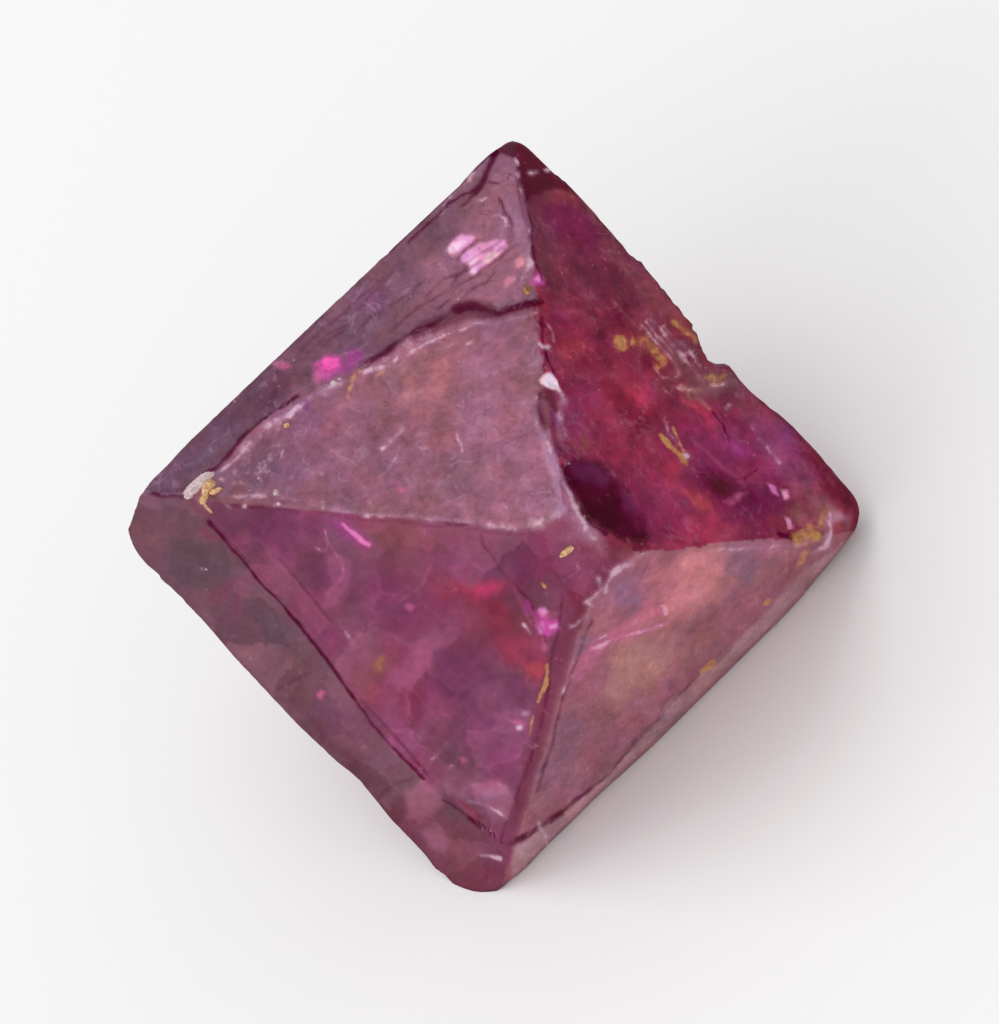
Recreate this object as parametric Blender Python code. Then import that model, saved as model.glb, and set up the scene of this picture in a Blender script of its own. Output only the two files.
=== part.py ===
"""A natural spinel octahedron lying on one of its faces: one crystal, slightly uneven, with growth
ledges, blunt corners, a corroded face and a crumb of its matrix left on one corner.

The crystal's own axes run through its corners: +X to the corner on the viewer's right, +Y to the upper
one and +Z to the one that points at the viewer. It is modelled on them and then laid on its rest face.
"""

import math

import bmesh
import bpy
from mathutils import Matrix, Vector, noise

NODE = "spinel_crystal"
MM = 0.001

# Driving dimensions, in millimetres as all lengths here are until the finished meshes are laid down
EDGE = 12.0
CORNER_REACH = EDGE / math.sqrt(2.0)
FACE_REACH = CORNER_REACH / math.sqrt(3.0)

# The eight faces: direction, and how much further out each grew than on an even octahedron
UPPER_LEFT = (-1, 1, 1)
UPPER_RIGHT = (1, 1, 1)
LOWER_LEFT = (-1, -1, 1)
LOWER_RIGHT = (1, -1, 1)
BACK_UPPER_LEFT = (-1, 1, -1)
BACK_UPPER_RIGHT = (1, 1, -1)
BACK_LOWER_LEFT = (-1, -1, -1)
REST_FACE = (1, -1, -1)
GROWTH = {
    UPPER_LEFT: 0.030,
    UPPER_RIGHT: 0.008,
    LOWER_LEFT: -0.057,
    LOWER_RIGHT: 0.019,
    BACK_UPPER_LEFT: 0.006,
    BACK_UPPER_RIGHT: 0.030,
    BACK_LOWER_LEFT: 0.118,
    REST_FACE: 0.008,
}

# The photograph's view of the crystal, in which some features are placed by their pixel
VIEW_TURN = math.radians(12.4)
VIEW_DIP = math.radians(4.3)
VIEW_ROLL = math.radians(-2.1)
VIEW_CENTRE = (494.1, 518.5)
PIXEL = CORNER_REACH / 393.5

# Strips along the outline that lean outward from a line, and by how much
LOWER_LEFT_STRIP = ((222, 536), (412, 768))
LOWER_LEFT_STRIP_LEAN = math.radians(3.8)
LOWER_RIGHT_STRIP = ((538, 828), (724, 655))
LOWER_RIGHT_STRIP_LEAN = math.radians(8.0)
UPPER_LEFT_STRIP = ((393, 247), (452, 199))
UPPER_LEFT_STRIP_LEAN = math.radians(20.0)
BOTTOM_RIGHT_FACET = ((512, 852), (546, 829))
BOTTOM_RIGHT_FACET_LEAN = math.radians(4.0)
BOTTOM_LEFT_FACET = ((447, 801), (503, 844))
BOTTOM_LEFT_FACET_LEAN = math.radians(8.5)

# The smooth band along the lower ridge
BAND_DEPTH = 0.165
BAND_TAPER = 0.016

# The broken nose where the front corner was
NOSE_DIRECTION = (0.266, -0.307, 0.914)
NOSE_REACH = 6.80

# Each blunt corner: how much is missing, and the radius that it is worn to
TOP_WEAR = (0.30, 0.50)
LEFT_WEAR = (0.22, 0.55)
BOTTOM_WEAR = (0.10, 0.70)
RIGHT_WEAR = (0.46, 0.75)
BACK_WEAR = (0.30, 0.70)
WEAR_LEANS = (-34.0, -17.0, 0.0, 17.0, 34.0)

# The upper left face's raised plate, whose rim is the line seen across the face
PLATE_RIM = (
    (150, 500), (185, 495), (217, 466), (247, 440), (276, 416), (302, 396), (352, 381),
    (393, 352), (411, 340), (437, 331), (467, 316), (500, 315), (519, 308), (537, 304),
    (600, 296),
)
BEYOND_PLATE = ((600, 60), (380, 60), (60, 380), (60, 500))
PLATE_HEIGHT = 0.20
PLATE_RISER = math.radians(28.0)

# Lesser ledges on the faces: rim on the viewer's side given by pixels, hidden ones by face positions
LOWER_LEFT_LEDGE = ((214, 520), (262, 573), (305, 626), (350, 684), (400, 742), (430, 777), (500, 850))
BEYOND_LEDGE = ((440, 960), (60, 620), (120, 480))
LEDGE_DEPTH = 0.09
LEDGE_RISER = math.radians(28.0)

# The corroded upper right face, and its smoother places: pixel and radius
CORROSION_CELL = 0.30
CORROSION_DEPTH = 0.17
CORROSION_GRAIN = 2.2
CORROSION_STEP = 0.07
SMOOTH_PLACES = (((540, 165), 1.0), ((608, 512), 0.9), ((850, 505), 0.7))

# Broken places: pixel, face, size along the ridge, across it and into the crystal
CHIPS = {
    "shallow_notch": ((672, 288), UPPER_RIGHT, 1.20, 0.34, 0.30, -47.0),
    "notch": ((713, 342), UPPER_RIGHT, 0.64, 0.66, 0.62, -56.0),
    "upper_edge": ((634, 253), UPPER_RIGHT, 0.30, 0.20, 0.18, -40.0),
    "lower_edge": ((772, 404), UPPER_RIGHT, 0.26, 0.16, 0.14, -47.0),
    "ridge_upper": ((549, 392), UPPER_RIGHT, 0.55, 0.22, 0.20, -80.0),
    "ridge_lower": ((556, 440), UPPER_RIGHT, 0.75, 0.26, 0.22, -72.0),
    "right_corner": ((800, 534), UPPER_RIGHT, 0.45, 0.30, 0.22, 10.0),
    "bottom_corner": ((474, 816), LOWER_LEFT, 0.80, 0.20, 0.13, -36.0),
    "left_edge": ((374, 806), LOWER_LEFT, 0.80, 0.42, 0.55, -47.0),
}

# The crumb of pale matrix on the left corner
CRUMB_PIXEL = (201, 487)
CRUMB_SIZE = (0.44, 0.30, 0.24)

# Growth plates and triangular pits on the hidden faces: place on the face, size and depth
HIDDEN_PLATES = {
    BACK_UPPER_LEFT: ((0.9, -1.4, 6.4, 0.16), (-2.3, 1.7, 2.3, 0.10)),
    BACK_UPPER_RIGHT: ((-1.2, 0.8, 6.9, 0.13), (1.8, -1.9, 2.0, 0.09)),
    BACK_LOWER_LEFT: ((0.6, 1.3, 6.1, 0.15), (2.0, -0.9, 1.7, 0.10)),
}
REST_PITS = ((2.7, 1.5, 0.75, 0.14), (-2.4, 2.3, 0.55, 0.12), (0.9, -3.0, 0.65, 0.12))

ROUND_OFF = 1.0e-5
MIN_CORROSION = 0.015
CLEAR = 3.0
LEDGE_CLEAR = 0.30


def view_matrix():
    """Turns crystal axes to the view's: X to the right, Y up and Z towards the viewer."""
    turn = Matrix.Rotation(VIEW_TURN, 3, "Y")
    dip = Matrix.Rotation(VIEW_DIP, 3, "X")
    roll = Matrix.Rotation(VIEW_ROLL, 3, "Z")
    return roll @ dip @ turn


def reach(face):
    """Distance from the crystal's centre to a face."""
    return FACE_REACH * (1.0 + GROWTH[face])


def on_face(pixel, face, drop=0.0):
    """The point of a face, or of a level drop below it, that is seen at a pixel."""
    to_crystal = view_matrix().transposed()
    across = (pixel[0] - VIEW_CENTRE[0]) * PIXEL
    up = (VIEW_CENTRE[1] - pixel[1]) * PIXEL
    origin = to_crystal @ Vector((across, up, 0.0))
    sight = to_crystal @ Vector((0.0, 0.0, 1.0))
    normal = Vector(face).normalized()
    return origin + sight * ((reach(face) - drop - normal.dot(origin)) / normal.dot(sight))


def cut(bm, direction, distance):
    """Cuts a convex body off along a plane and closes it."""
    normal = Vector(direction).normalized()
    geometry = bm.verts[:] + bm.edges[:] + bm.faces[:]
    result = bmesh.ops.bisect_plane(
        bm, geom=geometry, dist=ROUND_OFF, plane_co=normal * distance, plane_no=normal, clear_outer=True
    )
    rim = [piece for piece in result["geom_cut"] if isinstance(piece, bmesh.types.BMEdge)]
    if rim:
        bmesh.ops.contextual_create(bm, geom=rim)


def lean_cut(bm, face, line, lean):
    """Cuts a strip beyond a line on a face, leaning outward from it."""
    start, end = (on_face(pixel, face) for pixel in line)
    normal = Vector(face).normalized()
    along = (end - start).normalized()
    outward = along.cross(normal)
    if outward.dot(start) < 0.0:
        outward.negate()
    leaned = normal * math.cos(lean) + outward * math.sin(lean)
    cut(bm, leaned, leaned.dot(start))


def blunt(bm, corner, side, wear):
    """Rounds a corner with planes that touch a ball inside it."""
    missing, radius = wear
    axis, across = Vector(corner), Vector(side)
    centre = axis * (CORNER_REACH - missing - radius)
    for lean in WEAR_LEANS:
        angle = math.radians(lean)
        normal = axis * math.cos(angle) + across * math.sin(angle)
        cut(bm, normal, normal.dot(centre) + radius)


def crystal_body():
    """The octahedron with its blunt corners, edge strips, nose and band, as a closed convex mesh."""
    bm = bmesh.new()
    bmesh.ops.create_cube(bm, size=3.0 * CORNER_REACH)
    for face in GROWTH:
        cut(bm, face, reach(face))
    lean_cut(bm, LOWER_LEFT, LOWER_LEFT_STRIP, LOWER_LEFT_STRIP_LEAN)
    lean_cut(bm, LOWER_RIGHT, LOWER_RIGHT_STRIP, LOWER_RIGHT_STRIP_LEAN)
    lean_cut(bm, UPPER_LEFT, UPPER_LEFT_STRIP, UPPER_LEFT_STRIP_LEAN)
    lean_cut(bm, LOWER_RIGHT, BOTTOM_RIGHT_FACET, BOTTOM_RIGHT_FACET_LEAN)
    lean_cut(bm, LOWER_LEFT, BOTTOM_LEFT_FACET, BOTTOM_LEFT_FACET_LEAN)
    blunt(bm, (0, 1, 0), (1, 0, 0), TOP_WEAR)
    blunt(bm, (-1.0, -0.03, 0.0), (0, 1, 0), LEFT_WEAR)
    blunt(bm, (0, -1, 0), (1, 0, 0), BOTTOM_WEAR)
    blunt(bm, (1.0, 0.03, 0.0), (0, 1, 0), RIGHT_WEAR)
    blunt(bm, (0, 0, -1), (1, 1, 0), BACK_WEAR)
    cut(bm, NOSE_DIRECTION, NOSE_REACH)
    ridge = (reach(LOWER_LEFT) + reach(LOWER_RIGHT)) * math.sqrt(3.0 / 8.0)
    cut(bm, (0.0, BAND_TAPER - 1.0, BAND_TAPER + 1.0), ridge - BAND_DEPTH)
    bmesh.ops.recalc_face_normals(bm, faces=bm.faces[:])
    return bm


def mesh_object(name, bm):
    mesh = bpy.data.meshes.new(name)
    bm.to_mesh(mesh)
    bm.free()
    obj = bpy.data.objects.new(name, mesh)
    bpy.context.scene.collection.objects.link(obj)
    return obj


def cutter(name, bm):
    """An object that only shapes the crystal, with its faces turned outward."""
    bmesh.ops.recalc_face_normals(bm, faces=bm.faces[:])
    if bm.calc_volume(signed=True) < 0.0:
        bmesh.ops.reverse_faces(bm, faces=bm.faces[:])
    obj = mesh_object(name, bm)
    obj.hide_render = True
    obj.display_type = "WIRE"
    return obj


def apply_shape(crystal, tool, operation="DIFFERENCE"):
    boolean = crystal.modifiers.new(tool.name, "BOOLEAN")
    boolean.operation = operation
    boolean.solver = "EXACT"
    boolean.object = tool


def prism(name, outline, rise):
    """A closed block that rises from a flat outline, straight or slanted."""
    bm = bmesh.new()
    base = bm.faces.new([bm.verts.new(point) for point in outline])
    top = bmesh.ops.extrude_face_region(bm, geom=[base])
    verts = [piece for piece in top["geom"] if isinstance(piece, bmesh.types.BMVert)]
    bmesh.ops.translate(bm, verts=verts, vec=rise)
    bmesh.ops.triangulate(bm, faces=bm.faces[:])
    return cutter(name, bm)


def ledge(name, face, rim, beyond, depth, riser):
    """What lies over a lower level of a face, beyond the rim of its raised plate and its sloping riser."""
    normal = Vector(face).normalized()
    front = Vector((0, 0, 1))
    inward = (front - normal * front.dot(normal)).normalized()
    slant = normal + inward / math.tan(riser)
    outline = [on_face(pixel, face) - slant * depth for pixel in rim + beyond]
    return prism(name, outline, slant * (LEDGE_CLEAR + depth))


def face_axes(face):
    """A face's middle, its direction, and two directions along it."""
    normal = Vector(face).normalized()
    along = Vector((0, 0, 1)).cross(normal).normalized()
    return normal * reach(face), normal, along, normal.cross(along)


def triangle_pit(name, face, place):
    """A shallow three-sided pit, whose corners point at the face's sides."""
    across, up, size, depth = place
    middle, normal, along, upward = face_axes(face)
    centre = middle + along * across + upward * up - normal * depth
    outline = []
    for step in range(3):
        angle = math.radians(90.0 + 120.0 * step)
        outline.append(centre + (along * math.cos(angle) + upward * math.sin(angle)) * size)
    return prism(name, outline, normal * CLEAR)


def outer_ledge(name, face, place):
    """What lies over the lower level around a hidden face's three-sided plate."""
    across, up, size, depth = place
    middle, normal, along, upward = face_axes(face)
    centre = middle + along * across + upward * up
    bm = bmesh.new()
    for radius, level in ((size, -depth), (4.0 * size, -depth), (4.0 * size, CLEAR), (size, CLEAR)):
        for step in range(3):
            angle = math.radians(-90.0 + 120.0 * step)
            spoke = along * math.cos(angle) + upward * math.sin(angle)
            bm.verts.new(centre + spoke * radius + normal * level)
    bm.verts.ensure_lookup_table()
    rings = [bm.verts[3 * ring:3 * ring + 3] for ring in range(4)]
    for ring in range(4):
        lower, upper = rings[ring], rings[(ring + 1) % 4]
        for step in range(3):
            after = (step + 1) % 3
            bm.faces.new((lower[step], lower[after], upper[after], upper[step]))
    return cutter(name, bm)


def corrosion_depth(point):
    """How deep the upper right face is eaten at a point: slopes cut into small steps, less where smooth."""
    place = Vector((point.x * 1.3, point.y * 0.9, point.z)) / CORROSION_GRAIN
    hollow = 0.5 + 0.5 * noise.fractal(place + Vector((5.2, 1.3, 0.0)), 1.0, 2.0, 4)
    steps = math.floor(hollow * 2.0 * CORROSION_DEPTH / CORROSION_STEP) * CORROSION_STEP
    grain = noise.noise(place * 5.0) * 0.15 * CORROSION_DEPTH
    depth = 0.5 * steps + 0.3 * hollow * CORROSION_DEPTH + grain
    for pixel, radius in SMOOTH_PLACES:
        away = (point - on_face(pixel, UPPER_RIGHT)).length / radius
        depth *= min(1.0, max(0.0, away - 0.5))
    return max(MIN_CORROSION, depth)


def corrosion():
    """What the upper right face has lost, as a block with an uneven underside."""
    middle, normal, along, upward = face_axes(UPPER_RIGHT)
    cells = round(0.62 * EDGE / CORROSION_CELL)
    bm = bmesh.new()
    bmesh.ops.create_grid(bm, x_segments=2 * cells, y_segments=2 * cells, size=0.62 * EDGE)
    floor = bm.faces[:]
    for vert in bm.verts:
        point = middle + along * vert.co.x + upward * vert.co.y
        vert.co = point - normal * corrosion_depth(point)
    top = bmesh.ops.extrude_face_region(bm, geom=floor, use_keep_orig=True)
    for piece in top["geom"]:
        if isinstance(piece, bmesh.types.BMVert):
            piece.co += normal * (CLEAR - normal.dot(piece.co - middle))
    bmesh.ops.triangulate(bm, faces=bm.faces[:])
    return cutter("corrosion_cut", bm)


def chip(name, place):
    """A rough lump that breaks a hollow into an edge."""
    pixel, face, length, width, depth, turn = place
    middle, normal, along, upward = face_axes(face)
    centre = on_face(pixel, face)
    sight = view_matrix().transposed() @ Vector((0.0, 0.0, 1.0))
    right = view_matrix().transposed() @ Vector((1.0, 0.0, 0.0))
    long_way = Matrix.Rotation(math.radians(turn), 3, sight) @ right
    long_way = (long_way - normal * long_way.dot(normal)).normalized()
    short_way = normal.cross(long_way)
    bm = bmesh.new()
    bmesh.ops.create_icosphere(bm, subdivisions=2, radius=1.0)
    for vert in bm.verts:
        unit = vert.co.copy()
        lump = 1.0 + 0.22 * noise.noise(unit * 1.7 + centre * 0.9)
        local = long_way * (unit.x * length) + short_way * (unit.y * width) + normal * (unit.z * depth)
        vert.co = centre + local * lump
    return cutter(name + "_cut", bm)


def crumb():
    """The matrix crumb: a low uneven lump sunk into the left corner."""
    normal = Vector(UPPER_LEFT).normalized()
    centre = on_face(CRUMB_PIXEL, UPPER_LEFT, 0.10)
    right = view_matrix().transposed() @ Vector((1.0, 0.35, 0.0))
    along = (right - normal * right.dot(normal)).normalized()
    across = normal.cross(along)
    bm = bmesh.new()
    bmesh.ops.create_icosphere(bm, subdivisions=3, radius=1.0)
    for vert in bm.verts:
        unit = vert.co.copy()
        lump = 1.0 + 0.35 * noise.noise(unit * 2.3 + Vector((4.1, 0.7, 2.2)))
        size = Vector(CRUMB_SIZE) * lump
        vert.co = centre + along * (unit.x * size.x) + across * (unit.y * size.y) + normal * (unit.z * size.z)
    return cutter("crumb_lump", bm)


def lay_on_rest_face(crystal_and_tools):
    """Turns everything so that the rest face is down and the front corner towards -Y, sets the origin
    on the rest face straight below the crystal's centre, and goes from millimetres to metres."""
    upward = -Vector(REST_FACE).normalized()
    front = Vector((0, 0, 1))
    backward = -(front - upward * front.dot(upward)).normalized()
    to_world = Matrix((backward.cross(upward), backward, upward)).to_4x4()
    lift = Matrix.Translation((0.0, 0.0, reach(REST_FACE)))
    for obj in crystal_and_tools:
        obj.data.transform(Matrix.Scale(MM, 4) @ lift @ to_world)


def spinel_material():
    material = bpy.data.materials.new("spinel")
    material.use_nodes = True
    shader = material.node_tree.nodes["Principled BSDF"]
    shader.inputs["Base Color"].default_value = (0.26, 0.055, 0.12, 1.0)
    shader.inputs["Roughness"].default_value = 0.18
    shader.inputs["Metallic"].default_value = 0.0
    shader.inputs["IOR"].default_value = 1.718
    material.diffuse_color = (0.26, 0.055, 0.12, 1.0)
    return material


def build():
    for obj in list(bpy.data.objects):
        bpy.data.objects.remove(obj)
    crystal = mesh_object(NODE, crystal_body())
    tools = [
        ledge("plate_cut", UPPER_LEFT, PLATE_RIM, BEYOND_PLATE, PLATE_HEIGHT, PLATE_RISER),
        ledge("ledge_cut", LOWER_LEFT, LOWER_LEFT_LEDGE, BEYOND_LEDGE, LEDGE_DEPTH, LEDGE_RISER),
        corrosion(),
    ]
    for face, (plate, pit) in HIDDEN_PLATES.items():
        tools.append(outer_ledge("plate_cut_%+d%+d" % face[:2], face, plate))
        tools.append(triangle_pit("pit_cut_%+d%+d" % face[:2], face, pit))
    for count, place in enumerate(REST_PITS):
        tools.append(triangle_pit("rest_pit_cut_%d" % count, REST_FACE, place))
    tools += [chip(name, place) for name, place in CHIPS.items()]
    for tool in tools:
        apply_shape(crystal, tool)
    lump = crumb()
    apply_shape(crystal, lump, "UNION")
    lay_on_rest_face([crystal, lump] + tools)
    crystal.data.materials.append(spinel_material())


build()
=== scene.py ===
"""The looks of a natural spinel octahedron: a cloudy mauve and crimson crystal with growth ledges, worn
ridges, a corroded face, healed cracks that flash pink, and iron stains, lying on a pale floor.

Lengths are millimetres on the crystal's own axes, which run through its corners, until the finished
meshes are laid down. Places that are named by a pixel are where the photograph shows them.
"""

import math

import bmesh
import bpy
import numpy as np
from mathutils import Matrix, Vector, noise


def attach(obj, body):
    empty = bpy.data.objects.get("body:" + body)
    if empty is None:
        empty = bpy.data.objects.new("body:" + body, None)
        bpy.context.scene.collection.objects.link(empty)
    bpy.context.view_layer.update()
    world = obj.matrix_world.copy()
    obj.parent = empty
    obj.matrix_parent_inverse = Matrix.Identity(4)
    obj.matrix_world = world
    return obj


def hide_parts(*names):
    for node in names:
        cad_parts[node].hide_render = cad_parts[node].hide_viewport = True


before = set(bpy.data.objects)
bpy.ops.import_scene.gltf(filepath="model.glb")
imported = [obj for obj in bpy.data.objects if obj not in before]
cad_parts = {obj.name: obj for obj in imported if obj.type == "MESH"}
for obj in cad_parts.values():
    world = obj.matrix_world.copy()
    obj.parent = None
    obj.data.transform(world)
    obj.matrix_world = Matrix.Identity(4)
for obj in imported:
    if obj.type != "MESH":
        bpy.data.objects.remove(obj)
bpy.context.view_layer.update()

NODE = "spinel_crystal"
BODY = "root"
MM = 0.001

# The octahedron and how much further out each of its faces grew
EDGE = 12.0
CORNER_REACH = EDGE / math.sqrt(2.0)
FACE_REACH = CORNER_REACH / math.sqrt(3.0)
UPPER_LEFT = (-1, 1, 1)
UPPER_RIGHT = (1, 1, 1)
LOWER_LEFT = (-1, -1, 1)
LOWER_RIGHT = (1, -1, 1)
BACK_UPPER_LEFT = (-1, 1, -1)
BACK_UPPER_RIGHT = (1, 1, -1)
BACK_LOWER_LEFT = (-1, -1, -1)
REST_FACE = (1, -1, -1)
GROWTH = {
    UPPER_LEFT: 0.030,
    UPPER_RIGHT: 0.008,
    LOWER_LEFT: -0.057,
    LOWER_RIGHT: 0.019,
    BACK_UPPER_LEFT: 0.006,
    BACK_UPPER_RIGHT: 0.030,
    BACK_LOWER_LEFT: 0.118,
    REST_FACE: 0.008,
}

# The photograph's view and frame
VIEW_TURN = math.radians(12.4)
VIEW_DIP = math.radians(4.3)
VIEW_ROLL = math.radians(-2.1)
VIEW_CENTRE = (494.1, 518.5)
PIXEL = CORNER_REACH / 393.5
FRAME_WIDTH = 999
FRAME_HEIGHT = 1024
CAMERA_AWAY = 300.0
SENSOR = 36.0

# How much longer lumps of noise are in depth, and how far back the photograph's marks are painted
DEPTH_STRETCH = 2.2
FRONT_DEPTH = -1.7

# How finely the mesh is divided: parts of an edge all round, and of each part on the viewer's side
EDGE_PARTS = 66
VIEWER_PARTS = 3

# A reach beyond everything, the least that a direction faces a plane which it meets, and how far out
# from the crystal's middle a face's relief is worked
NO_REACH = 1.0e3
LEAST_FACING = 0.05
FACE_LIMIT = 1.35 * CORNER_REACH

# Strips that lean outward from a line of pixels, with the face they lie on and their lean in degrees
STRIPS = (
    (LOWER_LEFT, ((222, 536), (412, 768)), 3.8),
    (LOWER_RIGHT, ((538, 828), (724, 655)), 8.0),
    (UPPER_LEFT, ((393, 247), (452, 199)), 20.0),
    (LOWER_RIGHT, ((512, 852), (546, 829)), 4.0),
    (LOWER_LEFT, ((447, 801), (503, 844)), 8.5),
)

# The blunt corners: direction, the way they are rounded, what is missing and their radius
WEARS = (
    ((0.0, 1.0, 0.0), (1, 0, 0), 0.30, 0.50),
    ((-1.0, -0.03, 0.0), (0, 1, 0), 0.22, 0.55),
    ((0.0, -1.0, 0.0), (1, 0, 0), 0.10, 0.70),
    ((1.0, 0.03, 0.0), (0, 1, 0), 0.46, 0.75),
    ((0.0, 0.0, -1.0), (1, 1, 0), 0.30, 0.70),
)
WEAR_LEANS = (-34.0, -17.0, 0.0, 17.0, 34.0)

# The smooth band along the lower ridge, and the broken nose
BAND_DEPTH = 0.165
BAND_TAPER = 0.016
NOSE_DIRECTION = (0.266, -0.307, 0.914)
NOSE_REACH = 6.80

# How far the ridges and facets are rounded, how deep and wide the nicks are, and how wide ridges are worn
RIDGE_ROUND = 0.07
FACET_ROUND = 0.035
CORNER_ROUND = 5.0 * FACET_ROUND
CUT_ROUND = {"band": 0.05, "nose": 0.07, "corner": 0.12, "chip": 0.03}
RIDGE_NICKS = 0.02
NICK_WIDTH = 0.16
WORN_WIDTH = 0.20

# The crystal's outline as the photograph shows it, and the share of the reach that follows it
OUTLINE_CENTRE = (497, 518)
OUTLINE = (
    (503, 144), (513, 141), (524, 143), (547, 165), (566, 183), (580, 197), (594, 213), (608, 228),
    (620, 242), (627, 253), (639, 260), (645, 269), (655, 280), (672, 300), (686, 317), (696, 331),
    (701, 346), (707, 359), (713, 364), (728, 365), (739, 382), (772, 409), (793, 426), (821, 458),
    (838, 478), (850, 489), (857, 501), (860, 510), (859, 518), (855, 532), (847, 543), (835, 558),
    (803, 596), (781, 620), (750, 650), (689, 710), (655, 744), (609, 786), (595, 799), (563, 831),
    (545, 848), (531, 863), (520, 875), (506, 884), (493, 893), (483, 894), (471, 893), (458, 888),
    (447, 879), (430, 864), (426, 857), (407, 836), (387, 816), (379, 805), (363, 785), (356, 777),
    (335, 760), (314, 740), (300, 727), (236, 659), (204, 622), (176, 593), (155, 573), (138, 555),
    (129, 538), (129, 527), (133, 513), (140, 496), (149, 482), (166, 465), (190, 440), (440, 203),
    (461, 183), (479, 163), (495, 150),
)
OUTLINE_SHARE = 0.22
OUTLINE_PASSES = 3

# In how many directions the outline is compared, and how far, in directions, a difference is spread
OUTLINE_STEPS = 480
OUTLINE_WINDOW = 6
OUTLINE_SPREAD = 2.6

# The raised plate on the upper left face and the ledge on the lower left one, by their rims' pixels, with
# heights and depths in millimetres, slopes and wobbles in pixels, and a second groove under the ledge
PLATE_RIM = (
    (100, 508), (150, 500), (185, 495), (217, 466), (247, 440), (276, 416), (302, 396), (352, 381),
    (378, 362), (393, 352), (411, 340), (437, 331), (467, 316), (500, 315), (519, 308), (537, 304),
    (600, 296), (680, 280),
)
PLATE_HEIGHT = 0.20
PLATE_SLOPE = 13.0
PLATE_WOBBLE = 2.2
LEDGE_RIM = (
    (150, 450), (214, 520), (262, 573), (305, 626), (350, 684), (400, 742), (430, 777), (520, 870),
)
LEDGE_HEIGHT = 0.09
LEDGE_SLOPE = 6.0
LEDGE_WOBBLE = 0.8
FOOT_DEPTH = 0.05
SECOND_GROOVE = ((356, 694), (384, 725), (404, 747), (426, 774))
SECOND_DEPTH = 0.03

# The corroded face, the turn of its fibres as seen, and its smooth places: pixel and radius in millimetres
CORROSION_DEPTH = 0.17
FIBRE_TURN = -62.0
SMOOTH_PLACES = (((545, 165), 1.3), ((608, 512), 0.9), ((850, 505), 0.7))

# Broken places: pixel, face, size along the ridge, across it and into the crystal, and turn
CHIPS = (
    ((672, 288), UPPER_RIGHT, 1.20, 0.34, 0.30, -47.0),
    ((713, 342), UPPER_RIGHT, 0.64, 0.66, 0.62, -56.0),
    ((634, 253), UPPER_RIGHT, 0.30, 0.20, 0.18, -40.0),
    ((772, 404), UPPER_RIGHT, 0.26, 0.16, 0.14, -47.0),
    ((549, 392), UPPER_RIGHT, 0.55, 0.22, 0.20, -80.0),
    ((556, 440), UPPER_RIGHT, 0.75, 0.26, 0.22, -72.0),
    ((800, 534), UPPER_RIGHT, 0.45, 0.30, 0.22, 10.0),
    ((474, 816), LOWER_LEFT, 0.80, 0.20, 0.13, -36.0),
    ((376, 808), LOWER_LEFT, 0.70, 0.20, 0.30, -47.0),
)

# Growth plates and three-sided pits on the hidden faces: place on the face, size and depth
HIDDEN_PLATES = {
    BACK_UPPER_LEFT: (0.9, -1.4, 6.4, 0.16),
    BACK_UPPER_RIGHT: (-1.2, 0.8, 6.9, 0.13),
    BACK_LOWER_LEFT: (0.6, 1.3, 6.1, 0.15),
}
HIDDEN_PITS = {
    BACK_UPPER_LEFT: ((-2.3, 1.7, 2.3, 0.10),),
    BACK_UPPER_RIGHT: ((1.8, -1.9, 2.0, 0.09),),
    BACK_LOWER_LEFT: ((2.0, -0.9, 1.7, 0.10),),
    REST_FACE: ((2.7, 1.5, 0.75, 0.14), (-2.4, 2.3, 0.55, 0.12), (0.9, -3.0, 0.65, 0.12)),
}


# Turning between the view, the crystal's axes and the floor


def view_rows():
    """Turns crystal axes to the view's: X to the right, Y up and Z towards the viewer."""
    turn = Matrix.Rotation(VIEW_TURN, 3, "Y")
    dip = Matrix.Rotation(VIEW_DIP, 3, "X")
    roll = Matrix.Rotation(VIEW_ROLL, 3, "Z")
    return roll @ dip @ turn


def world_rows():
    """Turns crystal axes to the floor's, with the rest face down and the front corner towards -Y."""
    upward = -Vector(REST_FACE).normalized()
    front = Vector((0, 0, 1))
    backward = -(front - upward * front.dot(upward)).normalized()
    return Matrix((backward.cross(upward), backward, upward))


VIEW = np.array(view_rows())
WORLD = np.array(world_rows())


def unit(direction):
    """A direction with a length of 1."""
    direction = np.array(direction, dtype=float)
    return direction / np.linalg.norm(direction)


def face_reach(face):
    """Distance of a face from the crystal's middle."""
    return FACE_REACH * (1.0 + GROWTH[face])


def to_world(points):
    """Millimetres on the crystal's axes to metres on the floor."""
    return (points @ WORLD.T + (0.0, 0.0, face_reach(REST_FACE))) * MM


def pixels_of(points):
    """Where the photograph shows points of the crystal."""
    seen = points @ VIEW.T
    return np.stack((VIEW_CENTRE[0] + seen[:, 0] / PIXEL, VIEW_CENTRE[1] - seen[:, 1] / PIXEL), axis=1)


def drawn_out(points):
    """Points on the view's axes with less depth, which draws noise out so that tilt doesn't squeeze it."""
    return points @ VIEW.T / (1.0, 1.0, DEPTH_STRETCH)


def on_face(pixel, face, drop=0.0):
    """The point of a face, or of a level drop below it, that is seen at a pixel."""
    across = (pixel[0] - VIEW_CENTRE[0]) * PIXEL
    up = (VIEW_CENTRE[1] - pixel[1]) * PIXEL
    origin = VIEW.T @ (across, up, 0.0)
    normal = unit(face)
    return origin + VIEW[2] * ((face_reach(face) - drop - normal @ origin) / (normal @ VIEW[2]))


def face_axes(face):
    """A face's middle, and two directions along it."""
    normal = unit(face)
    along = unit(np.cross((0.0, 0.0, 1.0), normal))
    return normal * face_reach(face), along, np.cross(normal, along)


def seen_axes(face, turn):
    """A face's directions: along it at a turn in degrees, as seen, then across that, then outward."""
    angle = math.radians(turn)
    normal = unit(face)
    seen_way = VIEW.T @ (math.cos(angle), math.sin(angle), 0.0)
    along = unit(seen_way - normal * (seen_way @ normal))
    return np.stack((along, np.cross(normal, along), normal))


# Fields over many points at once


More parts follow.
